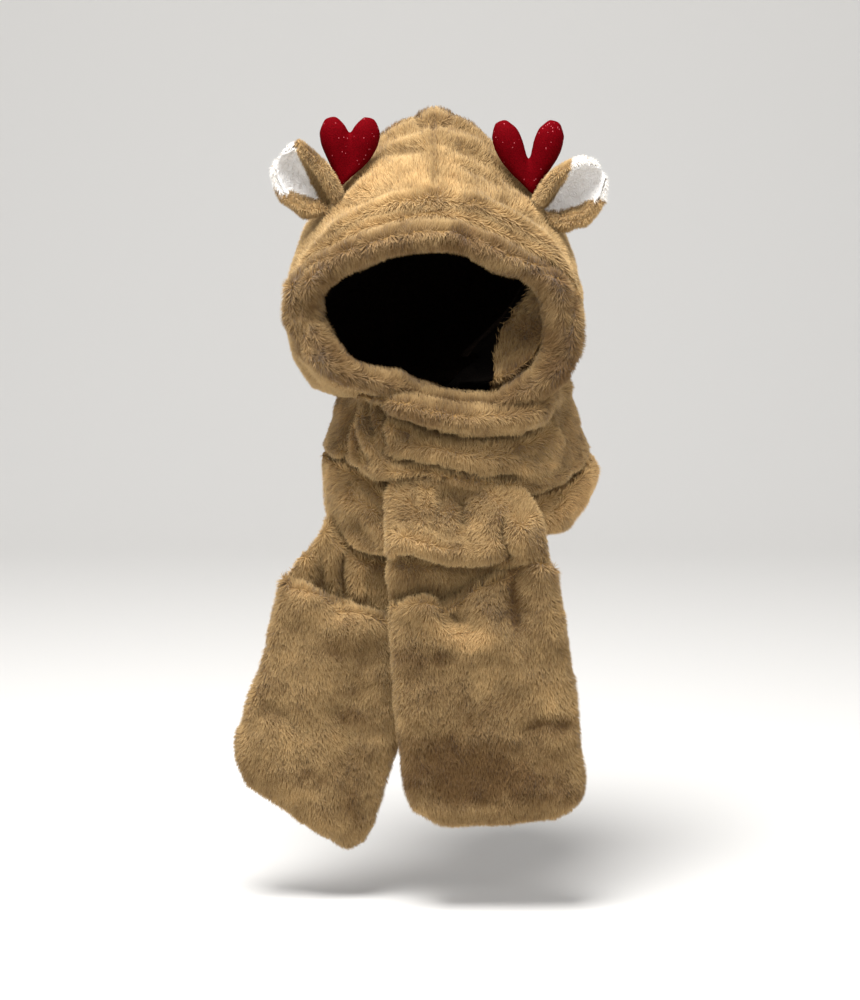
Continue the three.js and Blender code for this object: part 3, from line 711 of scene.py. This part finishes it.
# where a body's edge stands off its solid: pixel, mm to the right and up, and reach in pixels
pulls = {
    "Ear": [
        ((300, 152), -1, 8, 11), ((304, 210), 0, -7, 12), ((282, 196), -1, -4, 9), ((578, 158), 4, 2, 12),
        ((606, 205), 3, -4, 10), ((585, 214), 2, -9, 13), ((562, 218), 1, -11, 13),
    ],
    "neckLoop": [((358, 538), -2, -14, 24), ((562, 512), 2, -12, 22), ((330, 510), -3, -4, 22)],
}


def edgePull(place, name):
    whole = Vector((0, 0, 0))
    for part, corners in pulls.items():
        if part in name:
            for corner, right, up, reach in corners:
                near = math.exp(-(math.dist(pixelOf(place), corner) / reach) ** 2)
                whole += Vector((right, 0, up)) * (near / 1000)
    return whole


# the rear end's top lies behind the loop: the loop's lower edge in pixels, how far back it goes, and from how
# many pixels below the edge to how many above it
rearTop = {
    "line": [(300, 496), (323, 523), (336, 539), (349, 552), (380, 561), (400, 562)], "back": 0.03,
    "fade": (-4, 8),
}


def rearTopBack(place):
    off, side, along = nearLine(*pixelOf(place), rearTop["line"])
    above = off if side < 0 else -off
    return Vector((0, rearTop["back"] * faded(above, *rearTop["fade"]), 0))


softParts = {
    # body: (its solids, solids that it runs on beneath, voxel, smoothing, sunk, share of faces kept)
    "hoodPlush": (["hood_panel_left", "hood_panel_right"], ["brim_roll"], 0.0036, 6, 0.0045, 0.5),
    "rimPlush": (["brim_roll"], [], 0.0034, 6, 0.0035, 0.7),
    "neckFoldsPlush": (["wrap_upper"], [], 0.0032, 5, 0.0035, 0.6),
    "neckLoopPlush": (["wrap_lower"], [], 0.0036, 5, 0.004, 0.6),
    "frontEndPlush": (["tail_right"], ["wrap_upper", "wrap_lower"], 0.0036, 6, 0.004, 0.6),
    "frontPocketPlush": (["pocket_right"], [], 0.0034, 8, 0.004, 0.6),
    "rearEndPlush": (["tail_left"], ["wrap_lower"], 0.0038, 6, 0.004, 0.6),
    "rearPocketPlush": (["pocket_left"], [], 0.0036, 8, 0.004, 0.6),
    "leftEarPlush": (["ear_left"], [], 0.002, 3, 0.001, 0.6),
    "rightEarPlush": (["ear_right"], [], 0.002, 3, 0.001, 0.6),
}
bodies = {}
for name, (nodeNames, under, voxel, smoothing, sunk, thin) in softParts.items():
    bodies[name] = softBody(name, nodeNames, under, voxel, smoothing, sunk, thin)
    print("body", name, len(bodies[name].data.polygons))


# the other pieces keep their solids, softened
def softCopy(name, nodeName, material, voxel, smoothing, swell=0.0):
    piece = link(name, meshOf(copyOf([nodeName]), name), material)
    if voxel:
        remeshed(piece, voxel, smoothing)
    shape = bmesh.new()
    shape.from_mesh(piece.data)
    shape.normal_update()
    for vert in shape.verts:
        vert.co += vert.normal * swell + edgePull(vert.co, name)
        if "Antler" in name:
            vert.co += antlerDraw(vert.co, "left" if "left" in name else "right")
    shape.to_mesh(piece.data)
    shape.free()
    shadeSmooth(piece.data)
    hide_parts(nodeName)
    return piece


# the hood's lining, painted near-black as shade, is tucked under the tan plush right of its line, in metres
tuck = {"rightOf": 0.0, "before": 0.14, "out": 0.011}


def tuckUnder(cloth):
    shape = bmesh.new()
    shape.from_mesh(cloth.data)
    bmesh.ops.subdivide_edges(shape, edges=shape.edges[:], cuts=2, use_grid_fill=True)
    for vert in shape.verts:
        if vert.co.x > tuck["rightOf"] and vert.co.y < tuck["before"] and not inHollowShade(vert.co):
            vert.co += (vert.co - hoodMiddle).normalized() * tuck["out"]
    shape.to_mesh(cloth.data)
    shape.free()
    shadeSmooth(cloth.data)


for side in ("left", "right"):
    felt = softCopy(side + "AntlerFelt", "antler_" + side, feltMaterial, 0.0015, 60, 0.0005)
    satin = softCopy(side + "EarSatin", "ear_lining_" + side, whiteMaterial, 0.0016, 3)
    bodies[side + "EarSatin"] = satin
# the hood's lining, painted near-black as shade
innerCloth = softCopy("hoodInnerCloth", "hood_lining", hollowShadeMaterial, 0, 0)
tuckUnder(innerCloth)
print("antlers, ear linings and hood lining made")


# the pile
def makeStrand():
    # one fine hair of the pile, with its length on Z and its flat side to +Y
    shape = bmesh.new()
    bmesh.ops.create_circle(shape, cap_ends=True, segments=3, radius=1)
    layer = shape.verts.layers.float.new("along")
    corners = sorted(shape.verts, key=lambda vert: vert.co.y)
    for vert, place in zip(corners, ((-0.5, 0, 0), (0.5, 0, 0), (0, 0, 1))):
        vert.co = place
        vert[layer] = place[2]
    shape.normal_update()
    if shape.faces[:][0].normal.y < 0:
        bmesh.ops.reverse_faces(shape, faces=shape.faces)
    strand = bpy.data.objects.new("strand", meshOf(shape, "strand"))
    scene.collection.objects.link(strand)
    strand.hide_render = True
    return strand


class Wires:
    # short names for wiring a node tree
    def __init__(self, tree):
        self.tree = tree

    def node(self, kind, inputs=None, **settings):
        made = addNode(self.tree, kind, **settings)
        for key, value in (inputs or {}).items():
            socket = made.inputs[key]
            if isinstance(value, bpy.types.NodeSocket):
                self.tree.links.new(value, socket)
            else:
                socket.default_value = value
        return made

    def vector(self, operation, first, second=None, scale=None):
        inputs = {0: first}
        if second is not None:
            inputs[1] = second
        if scale is not None:
            inputs["Scale"] = scale
        made = self.node("ShaderNodeVectorMath", inputs, operation=operation)
        return made.outputs["Value" if operation == "DOT_PRODUCT" else "Vector"]

    def number(self, operation, first, second=0.0):
        return self.node("ShaderNodeMath", {0: first, 1: second}, operation=operation).outputs[0]

    def stored(self, name, kind="FLOAT"):
        read = self.node("GeometryNodeInputNamedAttribute", {"Name": name}, data_type=kind)
        return read.outputs["Attribute"]

    def noise(self, place, size, detail):
        return self.node("ShaderNodeTexNoise", {"Vector": place, "Scale": 1 / size, "Detail": detail})

    def spot(self, place, size, share):
        # noise about zero, as a share of a tone or an angle
        off = self.number("SUBTRACT", self.noise(place, size, 2.0).outputs["Fac"], 0.5)
        return self.number("MULTIPLY", off, share)

    def bend(self, place, size, share, detail):
        # a direction that wanders with the place
        off = self.vector("SUBTRACT", self.noise(place, size, detail).outputs["Color"], (0.5, 0.5, 0.5))
        return self.vector("SCALE", off, scale=share * 2)

    def anyVector(self, most, seed):
        inputs = {0: (-most,) * 3, 1: (most,) * 3, "Seed": seed}
        return self.node("FunctionNodeRandomValue", inputs, data_type="FLOAT_VECTOR").outputs[0]

    def anyNumber(self, low, high, seed):
        inputs = {2: low, 3: high, "Seed": seed}
        return self.node("FunctionNodeRandomValue", inputs, data_type="FLOAT").outputs[1]

    def kept(self, geometry, name, value, kind="FLOAT"):
        return self.node(
            "GeometryNodeStoreNamedAttribute", {"Geometry": geometry, "Name": name, "Value": value},
            data_type=kind, domain="INSTANCE").outputs[0]


def makeFurTree(name, strand, sizes, density, seed):
    tree = bpy.data.node_groups.new(name, "GeometryNodeTree")
    tree.interface.new_socket("Geometry", in_out="INPUT", socket_type="NodeSocketGeometry")
    tree.interface.new_socket("Geometry", in_out="OUTPUT", socket_type="NodeSocketGeometry")
    w = Wires(tree)
    start = w.node("NodeGroupInput")
    end = w.node("NodeGroupOutput")
    spread = w.node(
        "GeometryNodeDistributePointsOnFaces",
        {"Mesh": start.outputs[0], "Density": w.number("MULTIPLY", w.stored("cover"), density), "Seed": seed},
    )
    bed = spread.outputs["Normal"]
    place = w.node("GeometryNodeInputPosition").outputs[0]

    # the way a strand lies: along the nap, wandering a little, and lifted off the bed
    swirl = w.bend(place, sizes["swirlSize"], sizes["swirl"], 1.0)
    tuft = w.bend(place, sizes["tuftSize"], sizes["tuft"], 2.0)
    stray = w.anyVector(sizes["stray"], seed + 1)
    nap = w.stored("nap", "FLOAT_VECTOR")
    way = w.vector("ADD", w.vector("ADD", nap, swirl), w.vector("ADD", tuft, stray))
    inside = w.vector("SCALE", bed, scale=w.vector("DOT_PRODUCT", way, bed))
    flat = w.vector("NORMALIZE", w.vector("SUBTRACT", way, inside))
    lift = w.number("ADD", math.radians(sizes["lift"]),
                    w.spot(place, sizes["liftSize"], math.radians(sizes["liftVary"]) * 2))
    rise = w.vector("ADD", w.vector("SCALE", flat, scale=w.number("COSINE", lift)),
                    w.vector("SCALE", bed, scale=w.number("SINE", lift)))
    turned = w.node("FunctionNodeAlignRotationToVector", {"Vector": rise}, axis="Z")
    faces = w.vector("ADD", bed, w.anyVector(sizes["twist"], seed + 4))
    turned = w.node(
        "FunctionNodeAlignRotationToVector", {"Rotation": turned.outputs[0], "Vector": faces},
        axis="Y", pivot_axis="Z")

    # its size
    vary = w.anyNumber(0.65, 1.2, seed + 2)
    tall = w.number("MULTIPLY", w.number("MULTIPLY", vary, w.stored("longer")), sizes["length"])
    size = w.node("ShaderNodeCombineXYZ", {"X": sizes["width"], "Y": tall, "Z": tall}).outputs[0]
    blades = w.node("GeometryNodeObjectInfo", {"Object": strand, "As Instance": True})
    put = w.node(
        "GeometryNodeInstanceOnPoints",
        {"Points": spread.outputs["Points"], "Instance": blades.outputs["Geometry"],
         "Rotation": turned.outputs[0], "Scale": size},
    )

    # its tone, from wide patches, small clumps and the strand itself
    tone = w.number("ADD", w.spot(place, sizes["patchSize"], sizes["patchTone"]),
                    w.spot(place, sizes["clumpSize"], sizes["clumpTone"]))
    loose = w.number("MULTIPLY", w.anyNumber(-0.5, 0.5, seed + 3), sizes["looseTone"])
    tone = w.number("ADD", w.number("ADD", tone, loose), 0.5)
    # less the painted light and shade that the bed holds, from creases, patches and bodies
    tone = w.number("SUBTRACT", tone, w.stored("shade"))
    marked = w.kept(w.kept(put.outputs[0], "tone", tone), "bed", bed, "FLOAT_VECTOR")
    real = w.node("GeometryNodeRealizeInstances", {"Geometry": marked})

    # it is lit mostly as the bed beneath it
    own = w.node("GeometryNodeInputNormal").outputs[0]
    shade = w.vector("NORMALIZE", w.vector(
        "ADD", w.vector("SCALE", w.stored("bed", "FLOAT_VECTOR"), scale=sizes["bedShade"]),
        w.vector("SCALE", own, scale=1 - sizes["bedShade"])))
    shaded = w.node("GeometryNodeSetMeshNormal", mode="FREE", domain="POINT")
    tree.links.new(real.outputs[0], shaded.inputs["Mesh"])
    tree.links.new(shade, [s for s in shaded.inputs if s.type == "VECTOR"][0])
    painted = w.node("GeometryNodeSetMaterial", {"Geometry": shaded.outputs[0], "Material": strandMaterial})
    tree.links.new(painted.outputs[0], end.inputs[0])
    return tree


# where another piece lies on the bed: metres out to where the look begins, how far it reaches, what counts as
# touching, the least share of strands beyond that and the share won for each metre
room = {"from": 0.002, "reach": 0.05, "touching": 0.006, "least": 0.35, "perMetre": 14}
backShare = 0.6
# in a crease the pile is shorter and painted darker as shade, and at a pocket's mouth it is longer
pileChange = {"creaseShort": 0.55, "creaseShade": 0.4, "mouthLong": 0.4}


def coverAt(place, normal, others, outward):
    # how dense the strands stand at a point
    cover = float(outward(place, normal))
    if cover:
        hit = others.ray_cast(place + normal * room["from"], normal, room["reach"])
        if hit[0] is not None:
            cover *= 0.0 if hit[3] < room["touching"] else min(1.0, room["least"] + hit[3] * room["perMetre"])
    return cover * (1 - (1 - backShare) * faded(normal.y, 0.0, 0.7))


def markFur(piece, others, napAt, outward):
    # what the strands read from the bed beneath them
    name = piece.name
    shape = bmesh.new()
    shape.from_mesh(piece.data)
    shape.normal_update()
    marks = {"cover": [], "nap": [], "longer": [], "shade": [], "pale": [], "dusk": []}
    creased = shape.verts.layers.float.get("dark")
    for vert in shape.verts:
        place, normal = vert.co, vert.normal
        crease = vert[creased] if creased else 0.0
        shorter = 1 - pileChange["creaseShort"] * crease
        marks["cover"].append(coverAt(place, normal, others, outward))
        marks["nap"].extend(napAt(place, normal))
        marks["longer"].append(shorter * (1 + pileChange["mouthLong"] * nearMouth(name, place, normal)))
        # painted shade of the creases, less the painted light and shade of the patches and of each body
        marks["shade"].append(pileChange["creaseShade"] * crease - paintedLightAt(name, place, normal))
        marks["pale"].append(paleAt(name, place, normal))
        # the inner wall without pile is painted near-black as shade
        marks["dusk"].append(float(name == "hoodPlush" and not outward(place, normal)))
    shape.free()
    for mark, values in marks.items():
        isWay = mark == "nap"
        attribute = piece.data.attributes.new(mark, "FLOAT_VECTOR" if isWay else "FLOAT", "POINT")
        attribute.data.foreach_set("vector" if isWay else "value", values)


def growFur(name, piece, strand, sizes, density, seed):
    fur = link(name, piece.data.copy(), strandMaterial)
    step = fur.modifiers.new("fur", "NODES")
    share = 1.0
    step.node_group = makeFurTree(name + "Tree", strand, sizes, density * share, seed)
    finished(fur)
    print("fur", name, len(fur.data.polygons), "triangles")


plushFur = {
    "length": 0.0066, "width": 0.00088, "lift": 40, "liftVary": 30, "liftSize": 0.02,
    "swirl": 0.8, "swirlSize": 0.06, "tuft": 0.6, "tuftSize": 0.01, "stray": 0.3, "twist": 0.55,
    "patchSize": 0.03, "patchTone": 0.85, "clumpSize": 0.009, "clumpTone": 0.5, "looseTone": 0.22,
    "bedShade": 0.8,
}
rimFur = {**plushFur, "length": 0.0085, "tuft": 0.9, "tuftSize": 0.013, "clumpTone": 0.6}
earFur = {**plushFur, "length": 0.0048, "width": 0.0007, "tuftSize": 0.006}


# the ears' white faces as they are seen, in pixels
whiteSeen = {
    "left": [(294, 143), (299, 156), (306, 170), (311, 182), (321, 200), (307, 196), (295, 192), (282, 195),
             (276, 187), (270, 177), (275, 160), (284, 147)],
    "right": [(575, 153), (570, 170), (561, 186), (552, 200), (544, 209), (560, 210), (575, 206), (590, 200),
              (612, 199), (613, 180), (608, 162), (592, 150)],
}


def insideOutline(x, y, outline):
    inside = False
    for (ax, ay), (bx, by) in zip(outline, outline[1:] + outline[:1]):
        if (ay > y) != (by > y) and x < ax + (bx - ax) * (y - ay) / (by - ay):
            inside = not inside
    return inside


# how white the pile of the ears' faces is
whitePile = 0.88


def paleAt(name, place, normal):
    # how white a point is: only the ears' faces are
    if "Ear" not in name or normal.y > 0.35:
        return 0.0
    seen = insideOutline(*pixelOf(place), whiteSeen["left" if "left" in name else "right"])
    return whitePile * seen if "Plush" in name else float(seen)


# patches of painted light and shade on the pile, standing for its nap's sheen and for how light falls: middle
# and half size in pixels, change of tone
paintedLightPatches = {
    "hoodPlush": [
        ((380, 185), (50, 22), 0.22), ((350, 215), (30, 12), 0.2), ((400, 135), (24, 9), 0.12),
        ((490, 178), (30, 9), -0.16), ((470, 208), (30, 6), -0.14), ((478, 140), (22, 7), -0.12),
        ((452, 200), (8, 40), 0.22), ((520, 205), (25, 8), 0.1), ((522, 345), (30, 45), -0.32),
        ((433, 122), (40, 12), -0.22), ((434, 172), (3, 44), -0.18), ((505, 178), (40, 40), 0.1),
        ((476, 158), (26, 6), -0.12), ((490, 204), (34, 5), -0.1), ((380, 172), (44, 14), 0.08),
    ],
    "rimPlush": [
        ((400, 232), (60, 8), 0.08), ((306, 270), (14, 8), 0.2), ((320, 275), (12, 8), -0.12),
        ((560, 262), (14, 10), -0.12), ((574, 300), (6, 40), 0.05), ((560, 345), (20, 40), -0.16),
        ((440, 244), (90, 14), -0.12), ((330, 345), (20, 18), -0.1), ((340, 378), (26, 8), -0.12),
        ((520, 262), (24, 8), 0.1),
    ],
    "neckFoldsPlush": [
        ((410, 405), (16, 9), -0.16), ((430, 418), (16, 6), -0.12), ((520, 406), (16, 8), -0.12),
        ((455, 450), (13, 12), -0.18), ((500, 452), (14, 7), -0.1), ((552, 463), (9, 7), 0.3),
        ((395, 446), (14, 6), -0.08), ((365, 470), (16, 6), 0.08), ((575, 420), (20, 45), 0.2),
        ((470, 412), (90, 18), -0.14), ((460, 458), (100, 18), 0.08), ((345, 440), (22, 40), 0.12),
    ],
    "neckLoopPlush": [
        ((356, 520), (12, 14), -0.14), ((580, 480), (26, 36), 0.6), ((330, 470), (6, 40), 0.1),
    ],
    "frontEndPlush": [
        ((412, 528), (20, 16), 0.06), ((475, 548), (16, 10), 0.12), ((480, 530), (10, 14), 0.1),
        ((410, 575), (12, 8), -0.16), ((440, 580), (30, 8), -0.12), ((455, 500), (6, 18), -0.12),
    ],
    "frontPocketPlush": [
        ((472, 636), (18, 12), 0.8), ((440, 626), (22, 9), 0.28), ((412, 606), (22, 7), 0.15),
        ((424, 652), (36, 10), -0.22), ((514, 600), (6, 26), -0.3), ((527, 606), (12, 24), -0.14),
        ((478, 715), (52, 28), -0.06), ((470, 768), (62, 26), -0.34), ((440, 745), (30, 12), -0.18),
        ((552, 690), (22, 20), 0.16), ((548, 720), (26, 7), -0.22), ((500, 690), (30, 26), 0.1),
        ((560, 628), (10, 34), 0.08), ((462, 806), (60, 8), 0.12), ((575, 650), (5, 50), 0.14),
        ((490, 790), (90, 50), -0.14), ((440, 690), (50, 24), -0.1),
    ],
    "rearEndPlush": [
        ((310, 585), (12, 16), 0.08), ((316, 580), (5, 16), -0.22), ((362, 585), (14, 12), 0.12),
        ((345, 580), (4, 22), -0.2),
    ],
    "rearPocketPlush": [
        ((300, 590), (16, 6), 0.2), ((345, 615), (40, 8), 0.16), ((352, 648), (40, 6), -0.14),
        ((290, 660), (26, 30), 0.06), ((355, 712), (16, 9), -0.26), ((345, 690), (20, 6), -0.12),
        ((265, 716), (18, 14), -0.08), ((352, 795), (12, 34), -0.3), ((316, 775), (16, 12), -0.2),
        ((290, 790), (40, 8), 0.08), ((380, 770), (8, 40), 0.14), ((330, 740), (30, 12), 0.12),
    ],
}
# how strongly the patches show, and the painted light and shade on each body's tone
paintedLightDepth = 1.5
bodyPaintedLight = {
    "hoodPlush": 0.05, "rimPlush": -0.25, "neckFoldsPlush": -0.02, "neckLoopPlush": 0.16,
    "frontPocketPlush": -0.08, "rearEndPlush": 0.14, "rearPocketPlush": -0.06,
}


def paintedLightAt(name, place, normal):
    # each body's painted light and shade
    total = bodyPaintedLight.get(name, 0.0)
    share = 1 - faded(normal.y, -0.25, 0.4)
    if share <= 0:
        return total
    x, y = pixelOf(place)
    # the patches of painted light and shade
    for (atX, atY), (wide, high), change in paintedLightPatches.get(name, []):
        off = ((x - atX) / wide) ** 2 + ((y - atY) / high) ** 2
        if off < 6:
            total += share * paintedLightDepth * change * math.exp(-off)
    return total


# the pockets' fringed mouths, and how far round them the pile is longer, in pixels
mouths = {
    "frontPocketPlush": [(384, 594), (412, 593), (430, 594), (442, 605), (454, 599), (475, 584), (502, 576),
                         (520, 564), (538, 563), (550, 572)],
    "rearPocketPlush": [(284, 579), (292, 587), (322, 593), (340, 605), (355, 615), (370, 620), (385, 624)],
}
mouthReach = 8


def nearMouth(name, place, normal):
    if name not in mouths or normal.y > 0:
        return 0.0
    off = nearLine(*pixelOf(place), mouths[name])[0]
    return math.exp(-(off / mouthReach) ** 2)


def allBodies(without):
    whole = bmesh.new()
    for name, piece in bodies.items():
        if name != without:
            whole.from_mesh(piece.data)
    tree = BVHTree.FromBMesh(whole)
    whole.free()
    return tree


def upSlope(nap, normal):
    # on a face that looks up the pile leans up the slope
    level = Vector((normal.x, normal.y, 0))
    if level.length < 0.01 or normal.z < 0.1:
        return nap
    return nap - level.normalized() * 3.2 * (normal.z - 0.1)


def downNap(place, normal):
    return upSlope(Vector((0, 0.4 if place.y < 0 else -0.4, -1)), normal)


def hoodNap(place, normal):
    side = 1 if place.x > 0 else -1
    return upSlope(Vector((0.3 * side, 0.6 if place.y < 0 else -0.6, -0.8)), normal)


def rimNap(place, normal):
    out = Vector((place.x, 0, place.z + 0.19)).normalized()
    outward = normal.dot(out)
    nap = -out * 0.7 * (1 - max(0.0, outward)) + Vector((0, 0.9 * max(0.0, outward), -0.6))
    return upSlope(nap, normal)


# where the pile runs on inside the hood, in metres: on the lip, above it, right of the middle
innerPile = {"lip": -0.1, "above": -0.2, "rightOf": -0.02, "before": 0.14}


def hoodShown(place, normal):
    # the outside, and the inner wall as far as the lining painted near-black as shade
    if inHollowShadeView(place):
        return False
    if not insideHood(place, normal):
        return True
    if place.y < innerPile["lip"] and (place.x < innerPile["rightOf"] or place.z > innerPile["above"]):
        return True
    return place.x > innerPile["rightOf"] and place.y < innerPile["before"] and not inHollowShade(place)


innerWrapShare = 0.3


def neckShown(place, normal):
    # the pile is thin inside the wraps
    away = Vector((place.x - barrel["middle"][0], place.y - barrel["middle"][1], 0))
    return 1.0 if normal.dot(away) > -0.2 * away.length else innerWrapShare


def anyWay(place, normal):
    return 1.0


def flapShown(place, normal):
    # the pile of an ear's turned edges, round its white face
    side = "left" if place.x < 0 else "right"
    return float(normal.y < 0.1 and not insideOutline(*pixelOf(place), whiteSeen[side]))


furPlan = {
    # body: (strands per square metre, nap, which faces, seed)
    "hoodPlush": (840000, hoodNap, hoodShown, 1),
    "rimPlush": (1500000, rimNap, anyWay, 2),
    "neckFoldsPlush": (1200000, downNap, neckShown, 3),
    "neckLoopPlush": (1150000, downNap, neckShown, 4),
    "frontEndPlush": (1150000, downNap, anyWay, 5),
    "frontPocketPlush": (1550000, downNap, anyWay, 6),
    "rearEndPlush": (1050000, downNap, anyWay, 7),
    "rearPocketPlush": (1600000, downNap, anyWay, 8),
    "leftEarPlush": (2000000, downNap, anyWay, 9),
    "rightEarPlush": (2000000, downNap, anyWay, 10),
    "leftEarSatin": (2200000, downNap, flapShown, 11),
    "rightEarSatin": (2200000, downNap, flapShown, 12),
}
strand = makeStrand()
for name, (density, nap, outward, seed) in furPlan.items():
    markFur(bodies[name], allBodies(name), nap, outward)
    sizes = earFur if "Ear" in name else rimFur if name == "rimPlush" else plushFur
    furName = name.replace("Plush", "Fur").replace("Satin", "EdgeFur")
    growFur(furName, bodies[name], strand, sizes, density, seed)
bpy.data.objects.remove(strand)


# floor
def makeFloor():
    # a floor that sweeps up into a plain wall
    level, radius = studio["floorLevel"], studio["sweepRadius"]
    shape = bmesh.new()
    rows = [(-studio["floorAhead"], level), (studio["sweepFrom"], level)]
    rows += [(studio["sweepFrom"] + radius * math.sin(turn), level + radius * (1 - math.cos(turn)))
             for turn in [math.radians(5 * step) for step in range(1, 19)]]
    rows.append((studio["sweepFrom"] + radius, studio["wallHeight"]))
    verts = [shape.verts.new((-studio["floorWide"] / 2, y, z)) for y, z in rows]
    edges = [shape.edges.new(pair) for pair in zip(verts, verts[1:])]
    made = bmesh.ops.extrude_edge_only(shape, edges=edges)
    moved = [item for item in made["geom"] if isinstance(item, bmesh.types.BMVert)]
    bmesh.ops.translate(shape, verts=moved, vec=(studio["floorWide"], 0, 0))
    bmesh.ops.recalc_face_normals(shape, faces=shape.faces)
    floor = bpy.data.objects.new("floor", meshOf(shape, "floor"))
    shadeSmooth(floor.data)
    scene.collection.objects.link(floor)
    material, tree, shader = startMaterial("paleFloor", 0.9)
    shader.inputs["Base Color"].default_value = (0.78, 0.765, 0.74, 1)
    floor.data.materials.append(material)


makeFloor()
